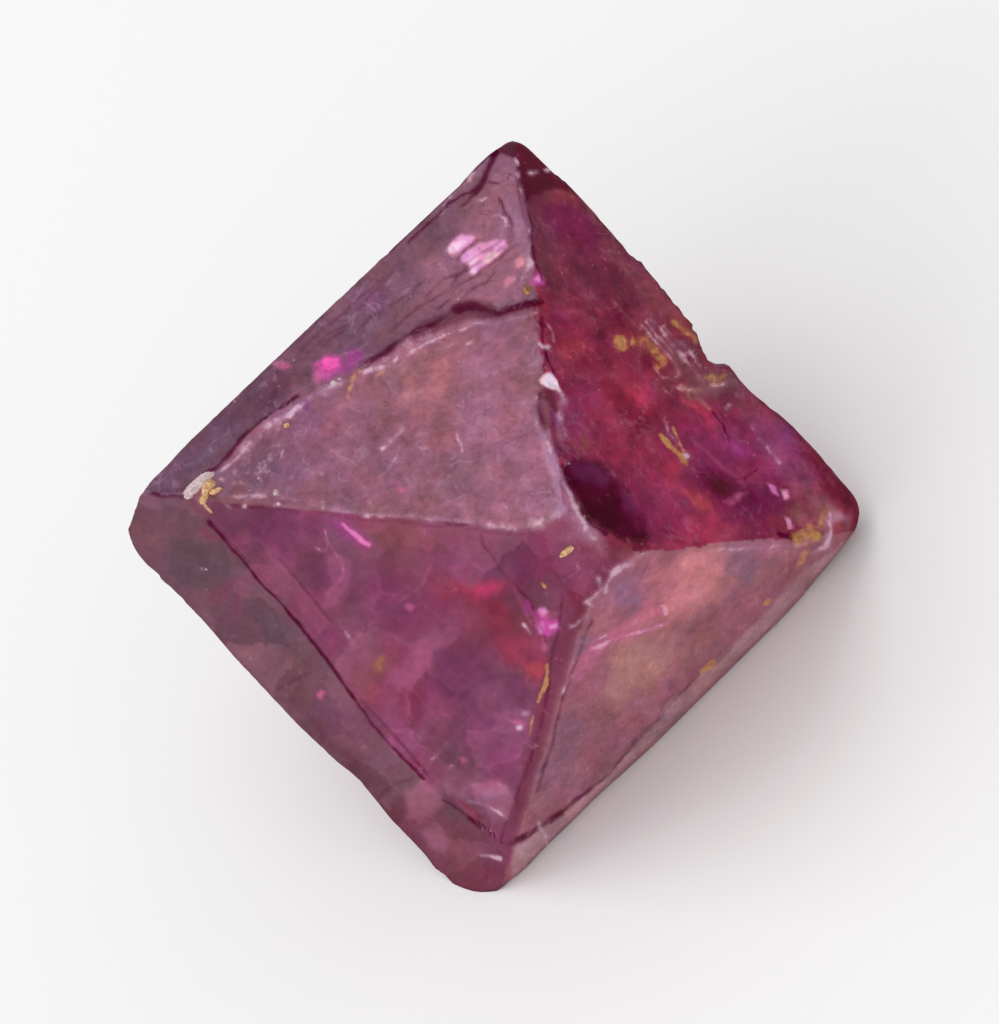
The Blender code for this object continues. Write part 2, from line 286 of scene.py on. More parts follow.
def smooth(values, start, end):
    """Runs softly from 0 at the start to 1 at the end."""
    share = np.clip((values - start) / (end - start), 0.0, 1.0)
    return share * share * (3.0 - 2.0 * share)


def grain(points, size, octaves=3, seed=0.0):
    """Fractal noise from about -1 to 1, with lumps of a size or of one for each axis."""
    scaled = points / np.array(size) + (seed, 0.37 * seed, -0.71 * seed)
    return np.array([noise.fractal(Vector(place), 0.9, 2.0, octaves) for place in scaled])


def line_distance(places, line):
    """Distance of each pixel place to a line of pixels, less than 0 to the left of the way it runs."""
    nearest = np.full(len(places), math.inf)
    for start, end in zip(line, line[1:]):
        run = np.subtract(end, start).astype(float)
        offset = places - np.array(start)
        share = np.clip(offset @ run / (run @ run), 0.0, 1.0)
        distance = np.hypot(*(offset - share[:, None] * run).T)
        side = np.sign(run[0] * offset[:, 1] - run[1] * offset[:, 0])
        closer = distance < np.abs(nearest)
        nearest[closer] = (distance * np.where(side == 0.0, 1.0, side))[closer]
    return nearest


def oval_distance(places, pixel, size, turn):
    """1 on the rim of an oval spot, 0 in its middle; a turn is in degrees, anticlockwise as seen."""
    angle = math.radians(turn)
    offset = places - np.array(pixel)
    long_way = offset @ (math.cos(angle), -math.sin(angle))
    short_way = offset @ (math.sin(angle), math.cos(angle))
    return np.hypot(long_way / size[0], short_way / size[1])


def soft_min(first, second, width):
    """The lesser of two reaches, rounded where they are closer than a width."""
    overlap = np.maximum(width - np.abs(first - second), 0.0)
    return np.minimum(first, second) - overlap * overlap / (4.0 * width)


# The crystal's shape, as a reach in each direction from its centre


def plane_reach(directions, normal, distance):
    """Reach to a plane at a distance from the middle."""
    facing = directions @ unit(normal)
    return np.where(facing > LEAST_FACING, distance / np.maximum(facing, LEAST_FACING), NO_REACH)


def corner_distance(across, up):
    """How far places are from the middle of a three-sided shape, towards the side that is nearest them."""
    spokes = [math.radians(90.0 + 120.0 * step) for step in range(3)]
    return np.max([across * math.cos(angle) + up * math.sin(angle) for angle in spokes], axis=0)


def plate_level(points):
    """The upper left face: the terrace beyond the plate's rim, with fine steps along the outline."""
    places = pixels_of(points)
    wobble = PLATE_WOBBLE * grain(points, 0.55, 3, 3.0)
    beyond = -line_distance(places, PLATE_RIM) + wobble
    drop = PLATE_HEIGHT * smooth(beyond, 0.0, PLATE_SLOPE)
    foot = FOOT_DEPTH * np.exp(-((beyond - PLATE_SLOPE) / 4.0) ** 2)
    stretched = grain(points @ WORLD.T, (2.6, 0.22, 1.0), 3, 9.0)
    steps = 0.0022 * np.round(2.5 * stretched) * smooth(beyond, 10.0, 40.0)
    frosted = 0.006 * grain(points, 0.16, 2, 5.0) * smooth(-beyond, 0.0, 8.0)
    lip = 0.012 * np.exp(-((beyond + 3.0) / 4.0) ** 2)
    return -drop - foot + steps + frosted + lip + 0.015 * grain(points, 1.9, 2, 1.0)


def ledge_level(points):
    """The lower left face: a lower strip past the ledge, with two grooves along its foot."""
    places = pixels_of(points)
    wobble = LEDGE_WOBBLE * grain(points, 0.8, 2, 14.0)
    beyond = line_distance(places, LEDGE_RIM) + wobble
    drop = LEDGE_HEIGHT * smooth(beyond, 0.0, LEDGE_SLOPE)
    foot = FOOT_DEPTH * np.exp(-((beyond - 0.5 * LEDGE_SLOPE) / 2.6) ** 2)
    foot = foot + SECOND_DEPTH * np.exp(-(line_distance(places, SECOND_GROOVE) / 2.2) ** 2)
    waves = 0.012 * grain(points, 1.4, 3, 12.0) + 0.004 * grain(points, 0.25, 2, 13.0)
    return -drop - foot + waves


def corroded_level(points):
    """The upper right face: hollows, fibrous steps and grains, but smooth near its corners."""
    seen = drawn_out(points)
    hollows = 0.5 + 0.5 * grain(points, 2.2, 3, 5.2)
    fibres = grain(points @ seen_axes(UPPER_RIGHT, FIBRE_TURN).T, (2.2, 0.5, 0.5), 5, 2.0)
    lumps = grain(seen, 0.8, 6, 8.0)
    pits = np.maximum(grain(seen, 0.35, 3, 11.0) - 0.2, 0.0)
    depth = CORROSION_DEPTH * (0.62 * hollows + 0.12 * fibres + 0.42 * lumps + 0.34 * pits)
    depth = np.maximum(depth, 0.012)
    for pixel, radius in SMOOTH_PLACES:
        away = np.linalg.norm(points - on_face(pixel, UPPER_RIGHT), axis=1) / radius
        depth = 0.02 + (depth - 0.02) * smooth(away, 0.55, 1.35)
    return -depth


def scratched_level(points):
    """The lower right face: nearly even, with faint long scratches and shallow growth steps."""
    stretched = grain(points @ WORLD.T, (1.8, 0.3, 0.3), 3, 21.0)
    return 0.014 * grain(points, 1.6, 2, 22.0) + 0.007 * stretched + 0.004 * grain(points, 0.2, 2, 23.0)


def hidden_level(points, face):
    """A face behind: a three-sided plate raised over its outer ledge, pits, and fine relief."""
    middle, along, upward = face_axes(face)
    across, up = (points - middle) @ along, (points - middle) @ upward
    wobble = 0.05 * grain(points, 0.8, 3, 31.0)
    height = 0.012 * grain(points, 1.5, 3, 32.0) + 0.005 * grain(points, 0.4, 2, 33.0) - 0.012
    if face in HIDDEN_PLATES:
        plate_across, plate_up, size, depth = HIDDEN_PLATES[face]
        side = corner_distance(across - plate_across, up - plate_up)
        height = height - depth * smooth(side + wobble, 0.5 * size, 0.5 * size + 0.25)
    for pit_across, pit_up, size, depth in HIDDEN_PITS[face]:
        side = corner_distance(pit_across - across, pit_up - up)
        height = height - depth * (1.0 - smooth(side + wobble, 0.5 * size - 0.2, 0.5 * size))
    return np.minimum(height, 0.0)


# The relief of the faces that the photograph shows
LEVELS = {
    UPPER_LEFT: plate_level,
    UPPER_RIGHT: corroded_level,
    LOWER_LEFT: ledge_level,
    LOWER_RIGHT: scratched_level,
}


def leaned_plane(face, line, lean):
    """A point of a strip that leans outward from a line of pixels on a face, and its normal."""
    start, end = (on_face(pixel, face) for pixel in line)
    normal = unit(face)
    outward = np.cross(unit(end - start), normal)
    outward = outward * np.sign(outward @ start)
    angle = math.radians(lean)
    return start, normal * math.cos(angle) + outward * math.sin(angle)


def face_surface(directions, face):
    """Reach to one face with its relief, and to the strips that lean away on it."""
    reach = plane_reach(directions, face, face_reach(face))
    near = reach < FACE_LIMIT
    points = directions[near] * reach[near, None]
    level = LEVELS[face](points) if face in LEVELS else hidden_level(points, face)
    reach[near] += level / np.maximum(directions[near] @ unit(face), LEAST_FACING)
    for host, line, lean in STRIPS:
        if host == face:
            start, leaned = leaned_plane(face, line, lean)
            strip = plane_reach(directions, leaned, leaned @ start)
            strip[near] += level / np.maximum(directions[near] @ leaned, LEAST_FACING)
            reach = soft_min(reach, strip, FACET_ROUND)
    return reach


def corner_surface(directions, corner, side, missing, radius):
    """Reach to the flats that round a corner."""
    axis, across = np.array(corner), np.array(side, dtype=float)
    centre = axis * (CORNER_REACH - missing - radius)
    reach = np.full(len(directions), NO_REACH)
    for lean in WEAR_LEANS:
        angle = math.radians(lean)
        normal = axis * math.cos(angle) + across * math.sin(angle)
        length = np.linalg.norm(normal)
        flat = plane_reach(directions, normal, (normal @ centre + radius) / length)
        reach = soft_min(reach, flat, CORNER_ROUND)
    return reach


def chip_surface(directions, pixel, face, length, width, depth, turn):
    """Reach to the near side of a lumpy hollow, where the line from the centre meets it."""
    scale = seen_axes(face, turn) / np.array((length, width, depth))[:, None]
    lump = 1.0 + 0.10 * grain(directions, 0.06, 3, pixel[0] * 0.1)
    way = (directions @ scale.T) / lump[:, None]
    middle = (scale @ on_face(pixel, face)) / lump[:, None]
    square = np.sum(way * way, axis=1)
    half = np.sum(way * middle, axis=1)
    rest = np.sum(middle * middle, axis=1) - 1.0
    inside = half * half - square * rest
    ahead = (inside > 0.0) & (half > 0.0)
    return np.where(ahead, (half - np.sqrt(np.maximum(inside, 0.0))) / square, NO_REACH)


def nose_level(directions):
    """The nose's uneven break: shallow shells and steps."""
    points = directions * NOSE_REACH
    return 0.05 * grain(points, 0.7, 3, 51.0) - 0.03


def crystal_surface(directions):
    """Reach in every direction, which face or facet gives it, and how near a ridge it is."""
    faces = np.array([face_surface(directions, face) for face in GROWTH])
    order = np.sort(faces, axis=0)
    ridge_gap = order[1] - order[0]
    kind = np.argmin(faces, axis=0)
    points = directions * order[0][:, None]
    worn = smooth(grain(points, 0.9, 3, 41.0), -0.35, 0.5)
    rounding = RIDGE_ROUND * (1.56 + 0.77 * worn)
    reach = faces[0]
    for surface in faces[1:]:
        reach = soft_min(reach, surface, rounding)
    nicks = np.maximum(grain(points, 0.30, 3, 43.0), 0.0) * np.exp(-(ridge_gap / NICK_WIDTH) ** 2)
    reach = reach - RIDGE_NICKS * nicks
    # How far out the two lower faces would meet in a sharp ridge
    ridge = (face_reach(LOWER_LEFT) + face_reach(LOWER_RIGHT)) * math.sqrt(3.0 / 8.0)
    band_normal = (0.0, BAND_TAPER - 1.0, BAND_TAPER + 1.0)
    cuts = {
        "band": plane_reach(directions, band_normal, ridge - BAND_DEPTH),
        "nose": plane_reach(directions, NOSE_DIRECTION, NOSE_REACH) + nose_level(directions),
        "corner": np.min([corner_surface(directions, *wear) for wear in WEARS], axis=0),
        "chip": np.min([chip_surface(directions, *chip) for chip in CHIPS], axis=0),
    }
    names = list(GROWTH) + list(cuts)
    for name, surface in cuts.items():
        kind = np.where(surface < reach, names.index(name), kind)
        reach = soft_min(reach, surface, CUT_ROUND[name])
    return reach, [names[index] for index in kind], ridge_gap


def outline_reach(angles):
    """Distance from the outline's centre to the photographed outline, in pixels, for each angle."""
    corners = np.array(OUTLINE + OUTLINE[:1], dtype=float) - OUTLINE_CENTRE
    ways = np.stack((np.cos(angles), np.sin(angles)), axis=1)
    reach = np.zeros(len(angles))
    for start, end in zip(corners, corners[1:]):
        run = end - start
        turn = ways[:, 0] * run[1] - ways[:, 1] * run[0]
        turn = np.where(np.abs(turn) < 1.0e-9, 1.0e-9, turn)
        along = (start[0] * run[1] - start[1] * run[0]) / turn
        share = (start[0] * ways[:, 1] - start[1] * ways[:, 0]) / turn
        hit = (share >= 0.0) & (share <= 1.0) & (along > 0.0)
        reach = np.where(hit, np.maximum(reach, along), reach)
    return reach


def follow_outline(points):
    """Draws the points nearest the outline out or in, across the sight line, to the photographed one."""
    seen = points @ VIEW.T
    closer = CAMERA_AWAY / (CAMERA_AWAY - seen[:, 2])
    shift = np.subtract(OUTLINE_CENTRE, VIEW_CENTRE) * PIXEL * (1.0, -1.0)
    offset = seen[:, :2] * closer[:, None] - shift
    angles = np.arctan2(-offset[:, 1], offset[:, 0])
    distance = np.hypot(*offset.T) / PIXEL
    own = np.zeros(OUTLINE_STEPS)
    step = np.floor((angles + math.pi) / math.tau * OUTLINE_STEPS).astype(int) % OUTLINE_STEPS
    np.maximum.at(own, step, distance)
    middles = (np.arange(OUTLINE_STEPS) + 0.5) / OUTLINE_STEPS * math.tau - math.pi
    ratio = outline_reach(middles) / own
    spread = np.exp(-(np.arange(-OUTLINE_WINDOW, OUTLINE_WINDOW + 1) / OUTLINE_SPREAD) ** 2)
    around = np.concatenate((ratio[-OUTLINE_WINDOW:], ratio, ratio[:OUTLINE_WINDOW]))
    ratio = np.convolve(around, spread / spread.sum(), "valid")
    wanted = np.interp(angles, middles, ratio, period=math.tau)
    limb = distance / np.interp(angles, middles, own, period=math.tau)
    share = smooth(limb, 1.0 - OUTLINE_SHARE, 1.0)
    moved = offset * (1.0 + (wanted - 1.0) * share)[:, None] + shift
    seen[:, :2] = moved / closer[:, None]
    return seen @ VIEW


# The mesh


def faces_viewer(place):
    """Whether a place is on the viewer's side, or before the lower left ridge, which lies further back."""
    return place.z > 0.0 or (place.z > -0.22 * place.length and place.x < 0.0 and place.y < 1.0)


def even_octahedron():
    """An octahedron divided evenly, and more finely where it faces the viewer."""
    bm = bmesh.new()
    bmesh.ops.create_uvsphere(bm, u_segments=4, v_segments=2, radius=CORNER_REACH)
    bmesh.ops.subdivide_edges(bm, edges=bm.edges[:], cuts=EDGE_PARTS - 1, use_grid_fill=True)
    edges = {edge for face in bm.faces if faces_viewer(face.calc_center_median()) for edge in face.edges}
    bmesh.ops.subdivide_edges(bm, edges=list(edges), cuts=VIEWER_PARTS - 1, use_grid_fill=True)
    bmesh.ops.triangulate(bm, faces=bm.faces[:])
    bmesh.ops.recalc_face_normals(bm, faces=bm.faces[:])
    return bm


def object_from(name, bm, material):
    """Makes an object of a bmesh, smooth and at the origin."""
    mesh = bpy.data.meshes.new(name)
    bm.to_mesh(mesh)
    bm.free()
    mesh.materials.append(material)
    mesh.shade_smooth()
    obj = bpy.data.objects.new(name, mesh)
    bpy.context.scene.collection.objects.link(obj)
    return obj


def points_of(mesh):
    """The places of a mesh's points."""
    points = np.empty(3 * len(mesh.vertices))
    mesh.vertices.foreach_get("co", points)
    return points.reshape(-1, 3)


def set_points(mesh, points):
    """Puts a mesh's points in new places."""
    mesh.vertices.foreach_set("co", points.ravel())
    mesh.update()


def store(mesh, name, values):
    """Keeps a number for each point of a mesh, for its material to read."""
    layer = mesh.attributes.new(name, "FLOAT", "POINT")
    layer.data.foreach_set("value", np.clip(values, 0.0, 1.0).astype(np.float32))


def store_colour(mesh, name, colours):
    """Keeps a colour for each point of a mesh."""
    layer = mesh.attributes.new(name, "FLOAT_COLOR", "POINT")
    layer.data.foreach_set("color", np.column_stack((colours, np.ones(len(colours)))).ravel())


# Colours, as screen values from 0 to 255


def linear(colour):
    """Light values of a screen colour."""
    values = np.array(colour) / 255.0
    return np.where(values <= 0.04045, values / 12.92, ((values + 0.055) / 1.055) ** 2.4)


INKS = {
    "plate mauve": (152, 99, 118),
    "terrace grey": (113, 78, 95),
    "terrace dark": (98, 68, 86),
    "lower purple": (129, 73, 96),
    "strip grey and sheen": (123, 86, 98),
    "green grey": (92, 74, 82),
    "plate dusk": (116, 82, 104),
    "right mauve": (149, 93, 107),
    "right strip and sheen": (164, 126, 132),
    "corroded crimson": (126, 50, 70),
    "upper crimson": (120, 62, 82),
    "nose pink": (134, 62, 90),
    "band maroon": (126, 65, 88),
    "tip maroon": (92, 32, 48),
    "painted rim shade": (96, 44, 56),
    "worn mauve": (134, 78, 96),
    "corner mauve": (122, 72, 86),
    "mulberry": (142, 56, 100),
    "tip wine and shade": (80, 22, 44),
    "hollow maroon": (114, 58, 74),
    "dark magenta": (108, 34, 72),
    "streak pink": (236, 132, 196),
    "beige": (172, 124, 118),
    "grey mauve": (130, 96, 112),
    "purple dusk": (114, 56, 88),
    "crack mauve": (166, 96, 130),
    "dusty rose": (172, 108, 132),
    "olive smoke": (130, 94, 100),
    "peach": (194, 124, 129),
    "ember": (196, 124, 126),
    "orange ember": (206, 84, 80),
    "rose red": (192, 66, 92),
    "hot rose": (212, 66, 116),
    "red glow": (148, 46, 68),
    "wine": (120, 30, 50),
    "rose": (204, 104, 148),
    "raspberry": (144, 50, 88),
    "magenta flash": (214, 84, 170),
    "magenta deep": (164, 66, 140),
    "pale flash": (232, 156, 204),
    "violet": (132, 66, 120),
    "deep violet": (106, 48, 84),
    "blue grey": (104, 92, 124),
    "violet grey": (116, 98, 122),
    "smoke": (100, 76, 84),
    "olive beige": (176, 126, 112),
    "orange blush": (216, 138, 156),
    "olive stain": (132, 94, 60),
    "brown": (126, 72, 62),
    "window black": (74, 0, 38),
    "pit black": (64, 0, 32),
    "dark plum": (82, 22, 48),
    "night plum": (78, 50, 70),
    "lilac": (180, 136, 166),
    "bruise white": (206, 164, 182),
    "white pink": (252, 212, 230),
    "hot pink": (248, 96, 184),
    "ochre": (176, 122, 62),
    "ochre light": (222, 172, 110),
}

# Colours that the materials mix in, as light values
TINTS = {
    "clear crystal": (1.0, 0.80, 0.92),
    "crystal depth": (0.88, 0.14, 0.50),
    "warm drift": (1.04, 0.97, 0.90),
    "cool drift": (0.97, 1.00, 1.12),
    "dark fibre": (0.085, 0.006, 0.020),
    "pale fibre": (0.50, 0.24, 0.30),
    "pale curl": (0.62, 0.36, 0.44),
    "dark crack": (0.080, 0.016, 0.035),
    "groove": (0.052, 0.006, 0.020),
    "worn white and highlight": (0.68, 0.46, 0.55),
    "dust": (0.80, 0.62, 0.68),
    "rust": (0.44, 0.185, 0.075),
    "rust light": (0.60, 0.32, 0.12),
    "chalk": (0.46, 0.33, 0.35),
    "chalk light": (0.70, 0.53, 0.55),
    "ochre crumb": (0.45, 0.23, 0.10),
    "ochre crumb light": (0.82, 0.52, 0.28),
    "floor": (0.86, 0.86, 0.86),
    "floor light": (0.89, 0.89, 0.89),
}

# Each face's look: its ink, a warm and a cool ink that it drifts to and how much, the way that its streaks
# run, the contrast of its clouds, streaks and grain, and the strength of its cells and of its strokes
LOOKS = {
    UPPER_LEFT: ("plate mauve", "dusty rose", "olive smoke", 0.45, 40.0, 0.08, 0.02, 0.09, 0.00, 0.40),
    UPPER_RIGHT: ("corroded crimson", "raspberry", "wine", 0.55, -58.0, 0.24, 0.02, 0.18, 0.30, 0.35),
    LOWER_LEFT: ("lower purple", "mulberry", "smoke", 0.40, 48.0, 0.10, 0.04, 0.06, 0.85, 0.35),
    LOWER_RIGHT: ("right mauve", "dusty rose", "olive smoke", 0.45, 43.0, 0.08, 0.05, 0.09, 0.10, 0.45),
    BACK_UPPER_LEFT: ("terrace grey", "raspberry", "night plum", 0.55, 30.0, 0.14, 0.12, 0.10, 0.45, 0.50),
    BACK_UPPER_RIGHT: ("plate mauve", "dusty rose", "night plum", 0.55, -30.0, 0.14, 0.12, 0.10, 0.30, 0.50),
    BACK_LOWER_LEFT: ("lower purple", "red glow", "night plum", 0.55, 10.0, 0.14, 0.12, 0.10, 0.50, 0.50),
    REST_FACE: ("right mauve", "rose", "olive smoke", 0.50, 60.0, 0.12, 0.12, 0.10, 0.30, 0.40),
    "band": ("band maroon", "raspberry", "tip maroon", 0.35, 80.0, 0.06, 0.05, 0.04, 0.00, 0.10),
    "nose": ("nose pink", "dusty rose", "wine", 0.45, 60.0, 0.14, 0.08, 0.10, 0.15, 0.50),
    "corner": ("worn mauve", "dusty rose", "tip maroon", 0.45, 45.0, 0.12, 0.08, 0.10, 0.10, 0.40),
    "chip": ("corroded crimson", "tip maroon", "smoke", 0.60, -50.0, 0.16, 0.12, 0.12, 0.10, 0.50),
}

# How bright each face's cloudy share would look if it were white, and how bright its clear share looks
LIGHT = {
    UPPER_LEFT: (1.10, 0.090), UPPER_RIGHT: (0.83, 0.158),
    LOWER_LEFT: (1.11, 0.110), LOWER_RIGHT: (0.86, 0.114),
    BACK_UPPER_LEFT: (1.06, 0.090), BACK_UPPER_RIGHT: (1.06, 0.090),
    BACK_LOWER_LEFT: (1.06, 0.090), REST_FACE: (1.06, 0.090),
    "band": (1.03, 0.097), "nose": (0.98, 0.094), "corner": (1.00, 0.088), "chip": (0.87, 0.114),
}

# Areas with their own colour, some of them partly painted light, a sheen or a highlight: ink, face, outline
# in pixels, softness of the rim in pixels and strength
AREAS = (
    # The outer terrace's greyer tone, partly a painted sheen
    ("terrace grey", UPPER_LEFT, ((100, 520), (185, 490), (219, 466), (247, 437), (276, 412), (302, 390),
        (352, 374), (378, 357), (411, 335), (437, 325), (467, 311), (500, 312), (545, 302), (540, 230),
        (520, 120), (300, 240), (100, 440)), 3, 0.9),
    ("terrace dark", None, ((120, 494), (183, 494), (219, 463), (247, 435), (294, 396), (283, 372),
        (268, 355), (190, 400), (120, 470)), 5, 0.85),
    ("plate mauve", UPPER_LEFT, ((420, 268), (470, 215), (500, 150), (518, 166), (532, 240), (540, 296),
        (500, 306), (456, 308), (420, 318)), 16, 0.55),
    # The lower left strip's greyer tone, partly a painted sheen
    ("strip grey and sheen", None, ((90, 495), (184, 498), (208, 516), (232, 545), (281, 602), (328, 659), (356, 700),
        (373, 726), (425, 780), (380, 860), (90, 620)), 2.5, 0.9),
    ("upper crimson", None, ((514, 168), (521, 190), (526, 207), (530, 228), (531, 250), (532, 268),
        (538, 276), (552, 290), (552, 180)), 1.5, 0.9),
    ("upper crimson", UPPER_RIGHT, ((510, 200), (640, 200), (700, 300), (660, 320), (600, 300), (540, 300)),
        20, 0.65),
    # The nose's bright curved rim, a painted highlight
    ("lilac", None, ((537, 432), (546, 436), (552, 446), (556, 458), (562, 474), (568, 490), (577, 504),
        (586, 516), (600, 530), (606, 545), (594, 550), (580, 540), (567, 526), (558, 510), (552, 490),
        (546, 468), (540, 450)), 4, 0.5),
    ("dark magenta", UPPER_RIGHT, ((566, 452), (596, 452), (622, 470), (644, 496), (662, 528), (660, 545),
        (610, 545), (560, 480)), 9, 0.5),
    ("window black", None, ((561, 468), (568, 465), (580, 460), (595, 462), (606, 470), (620, 485),
        (632, 502), (642, 517), (648, 533), (640, 541), (627, 541), (615, 536), (597, 526), (585, 516),
        (574, 502), (566, 487)), 4.5, 0.96),
    ("pit black", None, ((596, 500), (606, 488), (616, 500), (640, 522), (646, 534), (640, 539), (620, 537),
        (598, 525), (584, 512)), 5, 0.5),
    ("corner mauve", None, ((425, 790), (446, 802), (470, 818), (506, 844), (500, 896), (470, 896),
        (430, 866), (376, 808), (400, 800)), 6, 0.7),
    ("hollow maroon", None, ((536, 393), (548, 390), (556, 396), (557, 408), (554, 420), (550, 430),
        (543, 432), (538, 424), (536, 408)), 2.5, 0.75),
    ("nose pink", None, ((528, 532), (552, 520), (566, 512), (580, 530), (596, 545), (630, 548), (612, 566),
        (600, 580), (580, 600), (560, 600), (550, 570)), 5, 0.55),
    ("wine", None, ((596, 530), (615, 538), (640, 544), (628, 552), (606, 550), (596, 544)), 3, 0.45),
    # The lower right strip, painted lighter as a sheen and to make up for the lesser light on it
    ("right strip and sheen", None, ((512, 845), (543, 826), (592, 790), (618, 763), (635, 742), (666, 706), (703, 673),
        (740, 640), (800, 575), (850, 540), (800, 700), (540, 900)), 3, 0.8),
)
